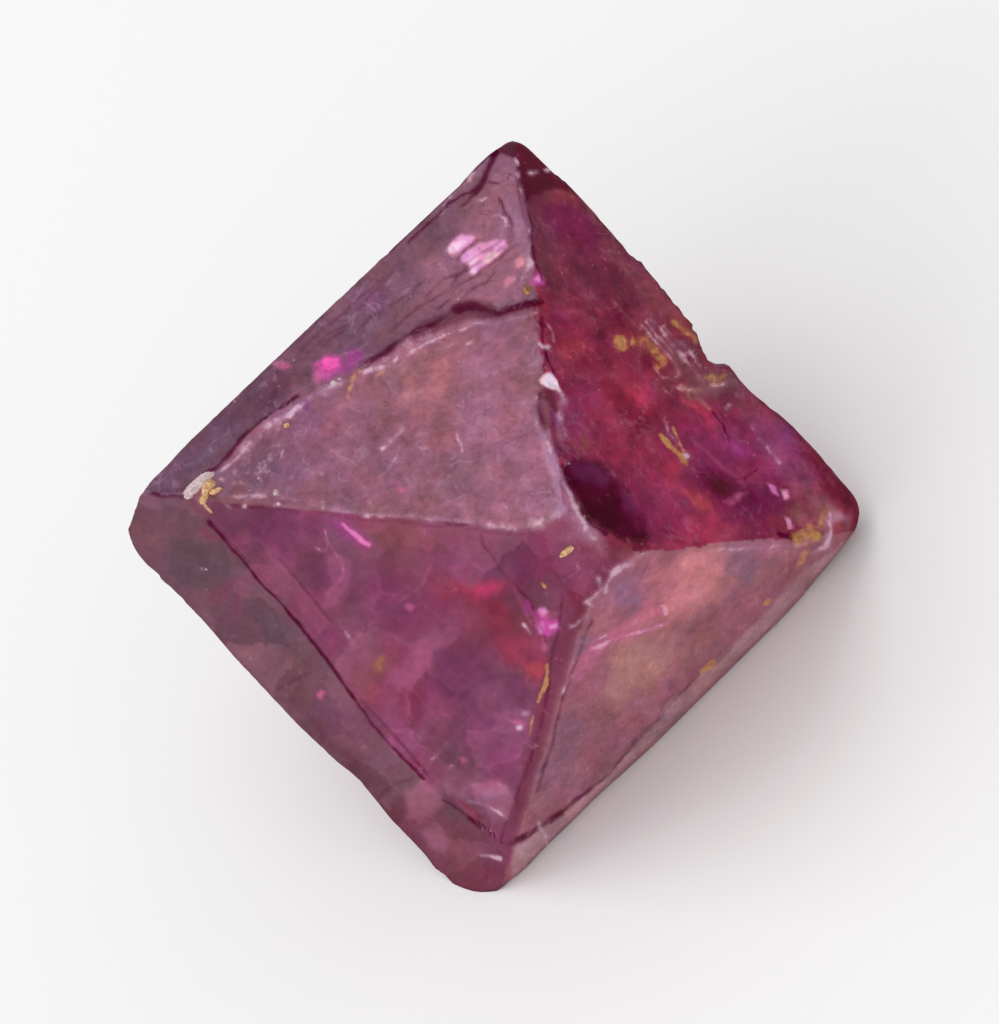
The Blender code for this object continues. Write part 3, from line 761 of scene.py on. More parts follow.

# Soft spots inside: zones of colour, the bright ones painted glow of light coming through the crystal: ink,
# pixel, half length and half width in pixels, turn, strength
SPOTS = (
    ("peach", (698, 568), (30, 22), 60, 0.7),
    ("ember", (684, 590), (32, 18), 45, 0.62),
    ("rose", (660, 610), (24, 12), 45, 0.35),
    ("beige", (640, 662), (36, 24), 40, 0.75),
    ("beige", (622, 678), (20, 14), 60, 0.5),
    ("grey mauve", (743, 566), (22, 17), 20, 0.75),
    ("grey mauve", (806, 580), (22, 10), 45, 0.45),
    ("blue grey", (628, 602), (9, 17), 0, 0.45),
    ("blue grey", (582, 640), (12, 7), 0, 0.45),
    ("blue grey", (556, 742), (18, 34), 10, 0.3),
    ("blue grey", (544, 786), (12, 22), 0, 0.35),
    ("rose", (600, 648), (44, 6), 28, 0.4),
    ("brown", (795, 576), (14, 12), 30, 0.3),
    ("brown", (690, 640), (44, 14), 42, 0.18),
    ("dark plum", (660, 710), (44, 4), 42, 0.25),
    ("smoke", (640, 735), (80, 8), 43, 0.35),
    ("raspberry", (590, 690), (30, 22), 60, 0.22),
    ("dusty rose", (760, 548), (16, 6), 20, 0.5),
    ("red glow", (474, 600), (34, 22), -30, 0.44),
    ("rose red", (486, 588), (16, 11), 10, 0.46),
    ("wine", (500, 616), (36, 18), -40, 0.4),
    ("red glow", (516, 640), (20, 14), 0, 0.36),
    ("rose red", (530, 652), (22, 20), 0, 0.26),
    ("orange ember", (538, 662), (9, 9), 0, 0.5),
    ("wine", (545, 560), (34, 14), -60, 0.3),
    ("brown", (378, 668), (22, 15), 20, 0.6),
    ("ochre", (382, 662), (6, 5), 0, 0.55),
    ("red glow", (396, 694), (30, 20), 0, 0.3),
    ("brown", (412, 540), (44, 18), -6, 0.45),
    ("brown", (420, 566), (26, 10), -30, 0.3),
    ("deep violet", (326, 572), (30, 18), -40, 0.45),
    ("deep violet", (264, 526), (34, 16), -10, 0.7),
    ("smoke", (250, 530), (20, 12), -30, 0.35),
    ("hollow maroon", (232, 503), (22, 6), -4, 0.8),
    ("deep violet", (310, 530), (26, 16), -30, 0.4),
    ("raspberry", (300, 600), (30, 12), -45, 0.35),
    ("violet", (450, 560), (34, 12), -10, 0.3),
    ("purple dusk", (406, 608), (30, 30), 0, 0.6),
    ("purple dusk", (462, 668), (30, 32), 20, 0.6),
    ("purple dusk", (520, 560), (26, 22), -50, 0.45),
    ("violet", (470, 700), (30, 40), 0, 0.26),
    ("violet", (504, 770), (22, 50), 12, 0.24),
    ("wine", (480, 640), (20, 16), 0, 0.3),
    ("rose", (430, 652), (34, 7), 43, 0.35),
    ("rose", (448, 706), (24, 9), -30, 0.2),
    ("deep violet", (518, 690), (24, 10), 0, 0.3),
    ("dusty rose", (476, 790), (40, 9), -4, 0.4),
    ("green grey", (276, 622), (20, 14), -45, 0.6),
    ("smoke", (292, 650), (16, 10), -45, 0.4),
    ("raspberry", (240, 600), (20, 6), 40, 0.3),
    ("tip maroon", (330, 744), (50, 9), -45, 0.35),
    ("violet", (345, 716), (30, 14), -45, 0.25),
    ("tip maroon", (410, 838), (60, 10), -45, 0.4),
    ("wine", (486, 876), (18, 10), 0, 0.35),
    ("peach", (452, 858), (20, 12), -40, 0.25),
    ("peach", (413, 391), (9, 14), 0, 0.5),
    ("peach", (452, 382), (34, 26), 20, 0.14),
    ("plate dusk", (500, 338), (32, 10), 14, 0.5),
    ("terrace dark", (322, 350), (24, 12), 45, 0.45),
    ("lilac", (252, 474), (40, 20), 35, 0.3),
    ("olive beige", (820, 518), (13, 22), 35, 0.42),
    ("worn mauve", (838, 548), (12, 12), 45, 0.4),
    ("tip maroon", (362, 762), (34, 16), -45, 0.35),
    ("dusty rose", (644, 704), (26, 16), 45, 0.25),
    ("grey mauve", (588, 718), (58, 26), 62, 0.42),
    ("violet grey", (572, 752), (30, 16), 62, 0.25),
    ("peach", (700, 574), (22, 14), 55, 0.4),
    ("peach", (440, 376), (14, 22), -20, 0.4),
    ("ember", (404, 400), (5, 14), -15, 0.35),
    ("brown", (438, 438), (20, 10), 20, 0.3),
    ("green grey", (420, 470), (50, 12), -10, 0.22),
    ("rose", (402, 486), (4, 4), 0, 0.6),
    ("violet", (290, 440), (40, 22), 40, 0.25),
    ("plate dusk", (262, 470), (56, 24), 32, 0.6),
    ("plate dusk", (322, 482), (60, 14), -4, 0.35),
    ("plate dusk", (300, 420), (30, 9), 40, 0.35),
    ("brown", (230, 503), (16, 7), -4, 0.55),
    ("smoke", (262, 470), (40, 12), 38, 0.25),
    ("smoke", (352, 504), (70, 7), -6, 0.4),
    ("dusty rose", (500, 400), (26, 60), 0, 0.35),
    ("dusty rose", (500, 296), (34, 8), 12, 0.35),
    ("night plum", (246, 430), (60, 10), 42, 0.55),
    ("tip maroon", (276, 392), (30, 9), 42, 0.4),
    ("night plum", (334, 342), (24, 12), 60, 0.5),
    ("smoke", (380, 318), (60, 20), 40, 0.25),
    ("violet", (372, 300), (14, 9), 50, 0.45),
    ("smoke", (440, 230), (36, 14), 42, 0.35),
    ("deep violet", (400, 340), (44, 8), 28, 0.4),
    ("night plum", (520, 190), (5, 20), 0, 0.25),
    ("wine", (580, 350), (30, 18), -50, 0.5),
    ("orange ember", (572, 346), (10, 8), 0, 0.25),
    ("red glow", (632, 396), (34, 26), -50, 0.5),
    ("rose red", (642, 400), (10, 11), 0, 0.4),
    ("red glow", (610, 440), (24, 20), -50, 0.4),
    ("red glow", (650, 470), (20, 24), -30, 0.5),
    ("dark plum", (618, 318), (11, 18), -50, 0.65),
    ("dark plum", (600, 260), (26, 20), -50, 0.35),
    ("dark plum", (648, 360), (10, 11), -40, 0.6),
    ("dark plum", (681, 352), (22, 9), -50, 0.55),
    ("dark plum", (640, 425), (9, 10), 0, 0.5),
    ("orange ember", (696, 500), (10, 12), 20, 0.7),
    ("rose red", (666, 485), (9, 9), 0, 0.65),
    ("rose red", (667, 468), (6, 14), 30, 0.45),
    ("red glow", (690, 528), (34, 12), -10, 0.55),
    ("dark magenta", (742, 520), (30, 10), -10, 0.6),
    ("rose red", (690, 530), (16, 12), 20, 0.4),
    ("dark magenta", (716, 456), (34, 26), -40, 0.55),
    ("magenta deep", (738, 448), (12, 7), -50, 0.45),
    ("raspberry", (660, 520), (34, 22), -20, 0.5),
    ("raspberry", (570, 232), (22, 12), -40, 0.5),
    ("mulberry", (578, 404), (20, 16), -50, 0.6),
    ("deep violet", (576, 424), (14, 12), -40, 0.55),
    ("deep violet", (566, 452), (14, 12), 0, 0.6),
    ("mulberry", (714, 450), (36, 30), -40, 0.6),
    ("mulberry", (660, 500), (30, 18), -40, 0.35),
    ("rose red", (699, 410), (20, 7), -45, 0.55),
    ("olive smoke", (676, 352), (30, 9), -42, 0.5),
    ("olive smoke", (720, 382), (26, 9), 20, 0.55),
    ("violet", (776, 440), (44, 16), -48, 0.45),
    ("deep violet", (760, 496), (24, 12), -10, 0.55),
    ("dusty rose", (790, 470), (30, 8), -46, 0.25),
    ("smoke", (690, 380), (24, 10), 0, 0.4),
    ("smoke", (740, 396), (30, 14), -40, 0.35),
    ("brown", (686, 320), (40, 10), -52, 0.55),
    ("brown", (640, 280), (50, 6), -52, 0.4),
    ("brown", (586, 443), (9, 7), 0, 0.75),
    ("brown", (640, 348), (22, 10), -20, 0.25),
    ("tip maroon", (826, 470), (40, 6), -46, 0.6),
    ("tip maroon", (850, 498), (14, 10), -50, 0.8),
    ("smoke", (812, 500), (16, 14), 0, 0.35),
    ("lilac", (836, 519), (10, 7), 0, 0.55),
    ("lilac", (824, 540), (5, 10), -20, 0.5),
    ("dusty rose", (575, 535), (20, 12), 0, 0.45),
    ("brown", (618, 548), (24, 7), 20, 0.4),
    ("wine", (572, 596), (10, 26), 8, 0.55),
    ("violet", (556, 424), (5, 16), 0, 0.45),
)

# Flashes, painted reflections off healed cracks inside, and other sharp patches of colour: ink, outline in
# pixels, softness in pixels, strength
FLASHES = (
    ("plate mauve", ((500, 155), (511, 159), (514, 166), (514, 176), (508, 183), (486, 184), (490, 172)), 1.5,
        0.6),
    # The top tip: its dark wine colour, painted darker still as shade against the light from above
    ("tip wine and shade", ((486, 157), (494, 147), (505, 137), (526, 136), (562, 165), (588, 200), (572, 194),
        (550, 190), (534, 196), (525, 204), (523, 190), (518, 185), (515, 175), (516, 166), (507, 157),
        (500, 154), (496, 157)), 1.8, 0.9),
    ("dark plum", ((519, 178), (530, 176), (545, 182), (541, 194), (528, 200), (522, 190)), 4, 0.6),
    ("dark magenta", ((540, 206), (560, 204), (584, 214), (602, 236), (590, 248), (566, 240), (548, 226)), 6,
        0.6),
    ("lilac", ((517, 200), (522, 207), (526, 225), (529, 245), (529, 262), (522, 262), (514, 240),
        (514, 218)), 3, 0.3),
    ("dusty rose", ((446, 252), (455, 240), (478, 236), (508, 240), (512, 254), (492, 270), (474, 280),
        (462, 268)), 6, 0.55),
    ("pale flash", ((447, 251), (454, 239), (461, 235), (476, 238), (470, 245), (458, 254), (451, 257)), 1.5,
        0.95),
    ("white pink", ((447, 250), (452, 243), (462, 240), (468, 242), (458, 250), (450, 256)), 1.8, 0.8),
    ("pale flash", ((459, 260), (471, 250), (481, 243), (505, 242), (507, 248), (492, 263), (476, 276),
        (468, 274), (470, 267), (463, 265)), 1.8, 1.0),
    ("white pink", ((483, 262), (487, 256), (494, 253), (498, 256), (491, 262), (485, 266)), 1.5, 0.9),
    ("white pink", ((467, 264), (472, 259), (478, 259), (475, 266), (470, 268)), 1.5, 0.7),
    ("white pink", ((469, 272), (475, 270), (477, 274), (473, 277)), 1.5, 0.85),
    ("orange blush", ((449, 253), (458, 253), (458, 258), (451, 259)), 1.5, 0.7),
    ("orange blush", ((516, 265), (520, 259), (527, 259), (525, 267), (518, 271)), 1.8, 0.85),
    ("orange blush", ((502, 284), (507, 279), (514, 278), (512, 285), (505, 288)), 1.8, 0.75),
    ("magenta flash", ((529, 285), (535, 277), (544, 284), (544, 289), (534, 288)), 2, 0.7),
    ("pale flash", ((533, 283), (536, 280), (540, 284), (537, 286)), 1.5, 0.8),
    ("olive stain", ((520, 290), (525, 286), (532, 290), (530, 298), (523, 298)), 2.2, 0.85),
    ("magenta flash", ((316, 366), (325, 358), (341, 359), (345, 371), (330, 381), (318, 384)), 4, 0.75),
    ("hot pink", ((323, 362), (326, 359), (338, 360), (340, 366), (332, 371), (324, 371)), 1.5, 0.95),
    ("magenta deep", ((344, 368), (349, 349), (362, 351), (366, 362), (352, 374), (338, 379)), 4, 0.75),
    ("rose", ((312, 383), (320, 371), (325, 380), (317, 386)), 2.5, 0.7),
    ("tip maroon", ((408, 336), (420, 324), (449, 312), (462, 304), (484, 302), (500, 309), (540, 300),
        (541, 311), (513, 318), (497, 322), (484, 323), (470, 322), (452, 329), (430, 337), (410, 346)), 3.5,
        0.6),
    ("dusty rose", ((352, 378), (380, 358), (408, 346), (440, 336), (444, 342), (412, 356), (384, 372),
        (356, 386)), 5, 0.35),
    ("rose", ((273, 362), (290, 363), (294, 368), (283, 371), (278, 369)), 2, 0.65),
    ("violet", ((303, 404), (309, 400), (312, 410), (305, 414)), 2, 0.6),
    ("magenta deep", ((330, 520), (344, 520), (374, 544), (366, 550), (344, 538)), 5, 0.5),
    ("streak pink", ((341, 523), (345, 524), (371, 544), (370, 547), (356, 539)), 1.5, 0.9),
    ("crack mauve", ((323, 607), (333, 582), (329, 556), (340, 553), (352, 560), (350, 585), (338, 604)), 2,
        0.35),
    ("crack mauve", ((386, 682), (398, 690), (446, 640), (436, 622)), 5, 0.4),
    ("dark plum", ((355, 562), (396, 548), (402, 575), (380, 602), (352, 600)), 2.5, 0.16),
    ("crack mauve", ((404, 552), (414, 540), (436, 566), (426, 584)), 2, 0.18),
    ("crack mauve", ((450, 566), (462, 546), (486, 570), (470, 590)), 2.5, 0.18),
    ("dark plum", ((420, 640), (470, 636), (490, 668), (452, 694), (424, 672)), 3, 0.14),
    ("crack mauve", ((470, 690), (500, 672), (512, 700), (486, 722)), 3, 0.2),
    ("crack mauve", ((396, 742), (432, 706), (442, 716), (408, 756)), 2.5, 0.22),
    ("dark plum", ((300, 540), (326, 556), (322, 590), (296, 580)), 3, 0.18),
    ("crack mauve", ((262, 556), (276, 548), (330, 618), (320, 632)), 3, 0.22),
    ("green grey", ((172, 538), (200, 540), (228, 544), (234, 560), (233, 573), (206, 592), (190, 586),
        (172, 575)), 3, 0.62),
    ("raspberry", ((200, 527), (206, 525), (218, 536), (214, 541)), 3, 0.45),
    ("mulberry", ((206, 598), (236, 576), (262, 566), (270, 574), (240, 590), (214, 606)), 4, 0.25),
    ("rose", ((318, 694), (322, 690), (327, 692), (322, 698)), 1.5, 0.8),
    ("beige", ((608, 655), (634, 640), (668, 642), (676, 655), (642, 683), (604, 693), (606, 672)), 5, 0.35),
    ("peach", ((684, 556), (714, 552), (718, 566), (717, 590), (690, 618), (672, 620), (660, 606),
        (676, 580)), 6, 0.5),
    ("grey mauve", ((724, 555), (752, 549), (763, 561), (742, 584), (721, 574)), 3, 0.4),
    ("magenta deep", ((524, 598), (532, 600), (530, 612), (524, 612)), 3, 0.6),
    ("magenta flash", ((532, 610), (540, 604), (546, 612), (547, 619), (557, 618), (558, 628), (549, 635),
        (541, 632), (535, 624)), 2.5, 0.7),
    ("pale flash", ((537, 606), (544, 605), (546, 610), (541, 614)), 2, 0.75),
    ("pale flash", ((548, 624), (556, 622), (557, 627), (549, 628)), 1.5, 0.8),
    ("pale flash", ((537, 618), (541, 620), (543, 632), (539, 630)), 1.5, 0.55),
    ("rose", ((542, 634), (547, 636), (548, 648), (543, 649)), 2, 0.5),
    ("white pink", ((539, 381), (543, 378), (549, 377), (556, 384), (558, 393), (552, 391), (544, 387)), 1.2,
        0.95),
    ("crack mauve", ((494, 715), (506, 705), (528, 706), (527, 722), (518, 732), (500, 728)), 6, 0.5),
    ("lilac", ((521, 708), (529, 708), (527, 713), (521, 713)), 2, 0.75),
    ("white pink", ((516, 724), (520, 723), (523, 727), (521, 730), (517, 729)), 1.5, 0.6),
    ("rose", ((507, 716), (520, 718), (527, 724), (514, 722)), 2, 0.6),
    ("hot rose", ((474, 586), (484, 580), (495, 581), (500, 590), (488, 597), (478, 595)), 6, 0.42),
    ("rose", ((406, 604), (410, 602), (415, 605), (413, 610), (407, 609)), 2, 0.5),
    ("rose", ((459, 757), (464, 756), (467, 760), (462, 764)), 2, 0.5),
    ("dark magenta", ((690, 462), (712, 462), (740, 478), (776, 492), (782, 508), (764, 516), (730, 512),
        (706, 500), (694, 484)), 9, 0.7),
    ("window black", ((698, 472), (710, 469), (726, 478), (746, 490), (756, 500), (744, 505), (726, 502),
        (712, 495), (703, 484)), 6, 0.58),
    ("window black", ((708, 480), (720, 478), (728, 488), (722, 496), (712, 492)), 4, 0.7),
    ("deep violet", ((566, 466), (590, 463), (612, 476), (602, 486), (584, 482), (572, 478)), 5, 0.5),
    ("deep violet", ((616, 490), (628, 492), (640, 510), (634, 516), (622, 506)), 4, 0.45),
    ("rose", ((724, 500), (735, 493), (744, 493), (738, 501), (730, 505)), 3, 0.35),
    ("streak pink", ((768, 484), (775, 487), (778, 496), (772, 493)), 1.5, 0.7),
    ("pale flash", ((781, 490), (788, 489), (789, 498), (783, 499)), 2, 0.75),
    ("pale flash", ((785, 515), (790, 517), (791, 527), (786, 527)), 1.5, 0.75),
    ("rose", ((470, 784), (490, 779), (506, 784), (508, 792), (488, 796), (472, 792)), 3, 0.35),
    ("lilac", ((481, 790), (500, 786), (510, 793), (494, 799), (482, 797)), 3, 0.3),
    ("dusty rose", ((406, 790), (424, 778), (446, 804), (424, 820), (405, 820)), 5, 0.5),
    ("smoke", ((446, 806), (466, 812), (476, 824), (460, 822), (446, 816)), 3, 0.55),
    ("dusty rose", ((424, 832), (440, 828), (450, 842), (444, 858), (430, 850)), 4, 0.4),
    ("dusty rose", ((484, 806), (504, 804), (508, 820), (492, 824)), 3, 0.35),
    ("band maroon", ((500, 840), (511, 843), (511, 862), (505, 890), (494, 892), (498, 866)), 2.5, 0.7),
    ("right strip and sheen", ((514, 846), (530, 836), (543, 830), (548, 847), (530, 868), (510, 884), (512, 864)), 1.8,
        0.7),
    ("dusty rose", ((472, 784), (508, 784), (514, 800), (510, 818), (492, 812), (476, 800)), 3, 0.4),
)

# Painted shade in grooves and at the foot of ledges, and dark cracks and stripes: half width in pixels,
# strength, pixels
SHADE_AND_CRACK_LINES = (
    (3.4, 0.74, ((362, 368), (374, 361), (384, 355), (392, 348), (404, 338))),
    (3.4, 0.56, ((404, 338), (418, 331), (437, 325), (450, 317), (462, 310))),
    (6.0, 0.75, ((456, 314), (466, 311), (478, 310), (488, 314))),
    (3.6, 0.95, ((488, 315), (500, 316), (512, 312), (524, 308), (532, 306), (540, 305))),
    (2.2, 0.9, ((300, 398), (286, 406), (270, 416), (257, 426), (242, 441), (230, 455), (219, 468),
        (205, 474))),
    (3.0, 0.95, ((495, 153), (490, 167), (486, 177), (481, 187), (475, 195))),
    (2.2, 0.85, ((475, 195), (469, 201), (463, 208))),
    (1.6, 0.8, ((474, 192), (464, 196), (455, 201), (446, 206))),
    (2.0, 0.8, ((447, 207), (440, 213), (432, 221), (420, 232), (408, 243))),
    (2.0, 0.7, ((492, 151), (478, 166), (462, 184), (446, 199), (430, 213), (410, 232), (380, 260))),
    (1.4, 0.7, ((485, 183), (497, 185), (507, 183), (510, 177))),
    (1.6, 0.75, ((499, 199), (504, 206), (506, 214))),
    (1.6, 0.55, ((506, 214), (511, 221), (512, 228), (511, 240))),
    (1.4, 0.5, ((457, 262), (466, 252), (478, 241))),
    (1.4, 0.4, ((464, 267), (482, 254), (502, 243))),
    (1.4, 0.4, ((468, 271), (488, 260), (505, 248))),
    (1.4, 0.45, ((477, 276), (492, 266), (510, 251))),
    (1.4, 0.5, ((464, 300), (472, 292), (486, 284), (494, 276))),
    (1.4, 0.5, ((450, 290), (456, 280), (466, 270))),
    (1.6, 0.4, ((300, 352), (330, 326), (364, 296), (392, 272))),
    (1.6, 0.4, ((393, 330), (420, 308), (452, 290), (481, 275))),
    (1.4, 0.4, ((340, 350), (372, 318), (410, 296))),
    (1.3, 0.5, ((427, 297), (444, 282), (467, 272))),
    (1.3, 0.5, ((437, 310), (462, 294), (493, 283))),
    (1.3, 0.4, ((410, 300), (417, 290), (427, 280))),
    (1.3, 0.4, ((397, 327), (410, 316), (420, 307))),
    (1.3, 0.5, ((320, 347), (332, 334), (347, 327))),
    (1.3, 0.5, ((300, 340), (312, 330), (323, 317))),
    (1.3, 0.4, ((360, 310), (374, 292), (390, 277))),
    (1.3, 0.35, ((390, 253), (404, 240), (423, 223))),
    (2.0, 0.5, ((326, 346), (334, 338), (342, 334))),
    (1.9, 0.8, ((211, 521), (220, 531), (228, 540), (237, 551))),
    (1.5, 1.0, ((237, 551), (247, 563), (256, 574), (266, 587), (278, 598), (292, 614), (305, 631))),
    (1.6, 1.0, ((305, 631), (317, 645), (328, 659), (342, 679), (356, 699))),
    (1.6, 0.7, ((356, 699), (372, 722), (395, 748), (424, 778))),
    (1.2, 0.4, ((360, 698), (384, 723), (404, 745), (427, 773))),
    (1.4, 0.5, ((281, 558), (292, 570), (303, 583), (315, 598), (332, 620))),
    (1.8, 0.42, ((225, 505), (245, 507), (262, 507), (282, 503), (300, 501), (316, 506))),
    (1.8, 0.26, ((316, 508), (345, 517), (400, 522), (450, 527), (500, 532), (530, 534))),
    (1.4, 0.45, ((478, 520), (484, 544), (500, 568), (530, 600), (546, 640))),
    (1.8, 0.7, ((150, 493), (162, 496), (176, 495), (184, 497))),
    (1.6, 0.5, ((443, 800), (456, 808), (470, 817))),
    (2.4, 0.75, ((470, 817), (487, 829), (503, 840))),
    (1.4, 0.4, ((278, 688), (295, 680), (311, 671))),
    (1.3, 0.35, ((376, 800), (392, 786), (412, 778))),
    (3.2, 0.8, ((512, 843), (529, 833), (543, 826), (562, 812))),
    (2.2, 0.65, ((562, 812), (577, 800), (592, 789))),
    (1.6, 0.45, ((592, 789), (609, 775), (618, 763), (635, 742))),
    (1.6, 0.35, ((635, 742), (663, 714), (694, 679), (717, 663), (734, 647))),
    (2.6, 0.95, ((778, 534), (788, 536), (797, 536))),
    (1.6, 0.5, ((560, 595), (556, 637), (550, 656), (546, 695), (537, 737), (520, 785), (502, 838))),
    (2.6, 0.6, ((539, 396), (538, 408), (541, 420), (544, 430))),
    (2.0, 0.7, ((562, 468), (566, 482), (572, 498), (580, 512), (590, 524), (604, 533))),
    (1.4, 0.6, ((517, 176), (521, 196), (527, 212), (531, 226), (533, 250), (535, 268), (541, 284))),
    (1.6, 0.6, ((541, 320), (541, 340), (545, 360), (552, 376))),
    (2.6, 0.7, ((539, 325), (543, 329))),
    (1.6, 0.5, ((590, 618), (580, 644), (571, 668), (561, 700), (553, 736), (536, 790))),
    (1.6, 0.6, ((700, 350), (690, 358), (684, 366))),
    (1.4, 0.5, ((712, 412), (722, 424), (730, 440))),
    (1.6, 0.45, ((756, 470), (744, 478), (730, 480))),
)
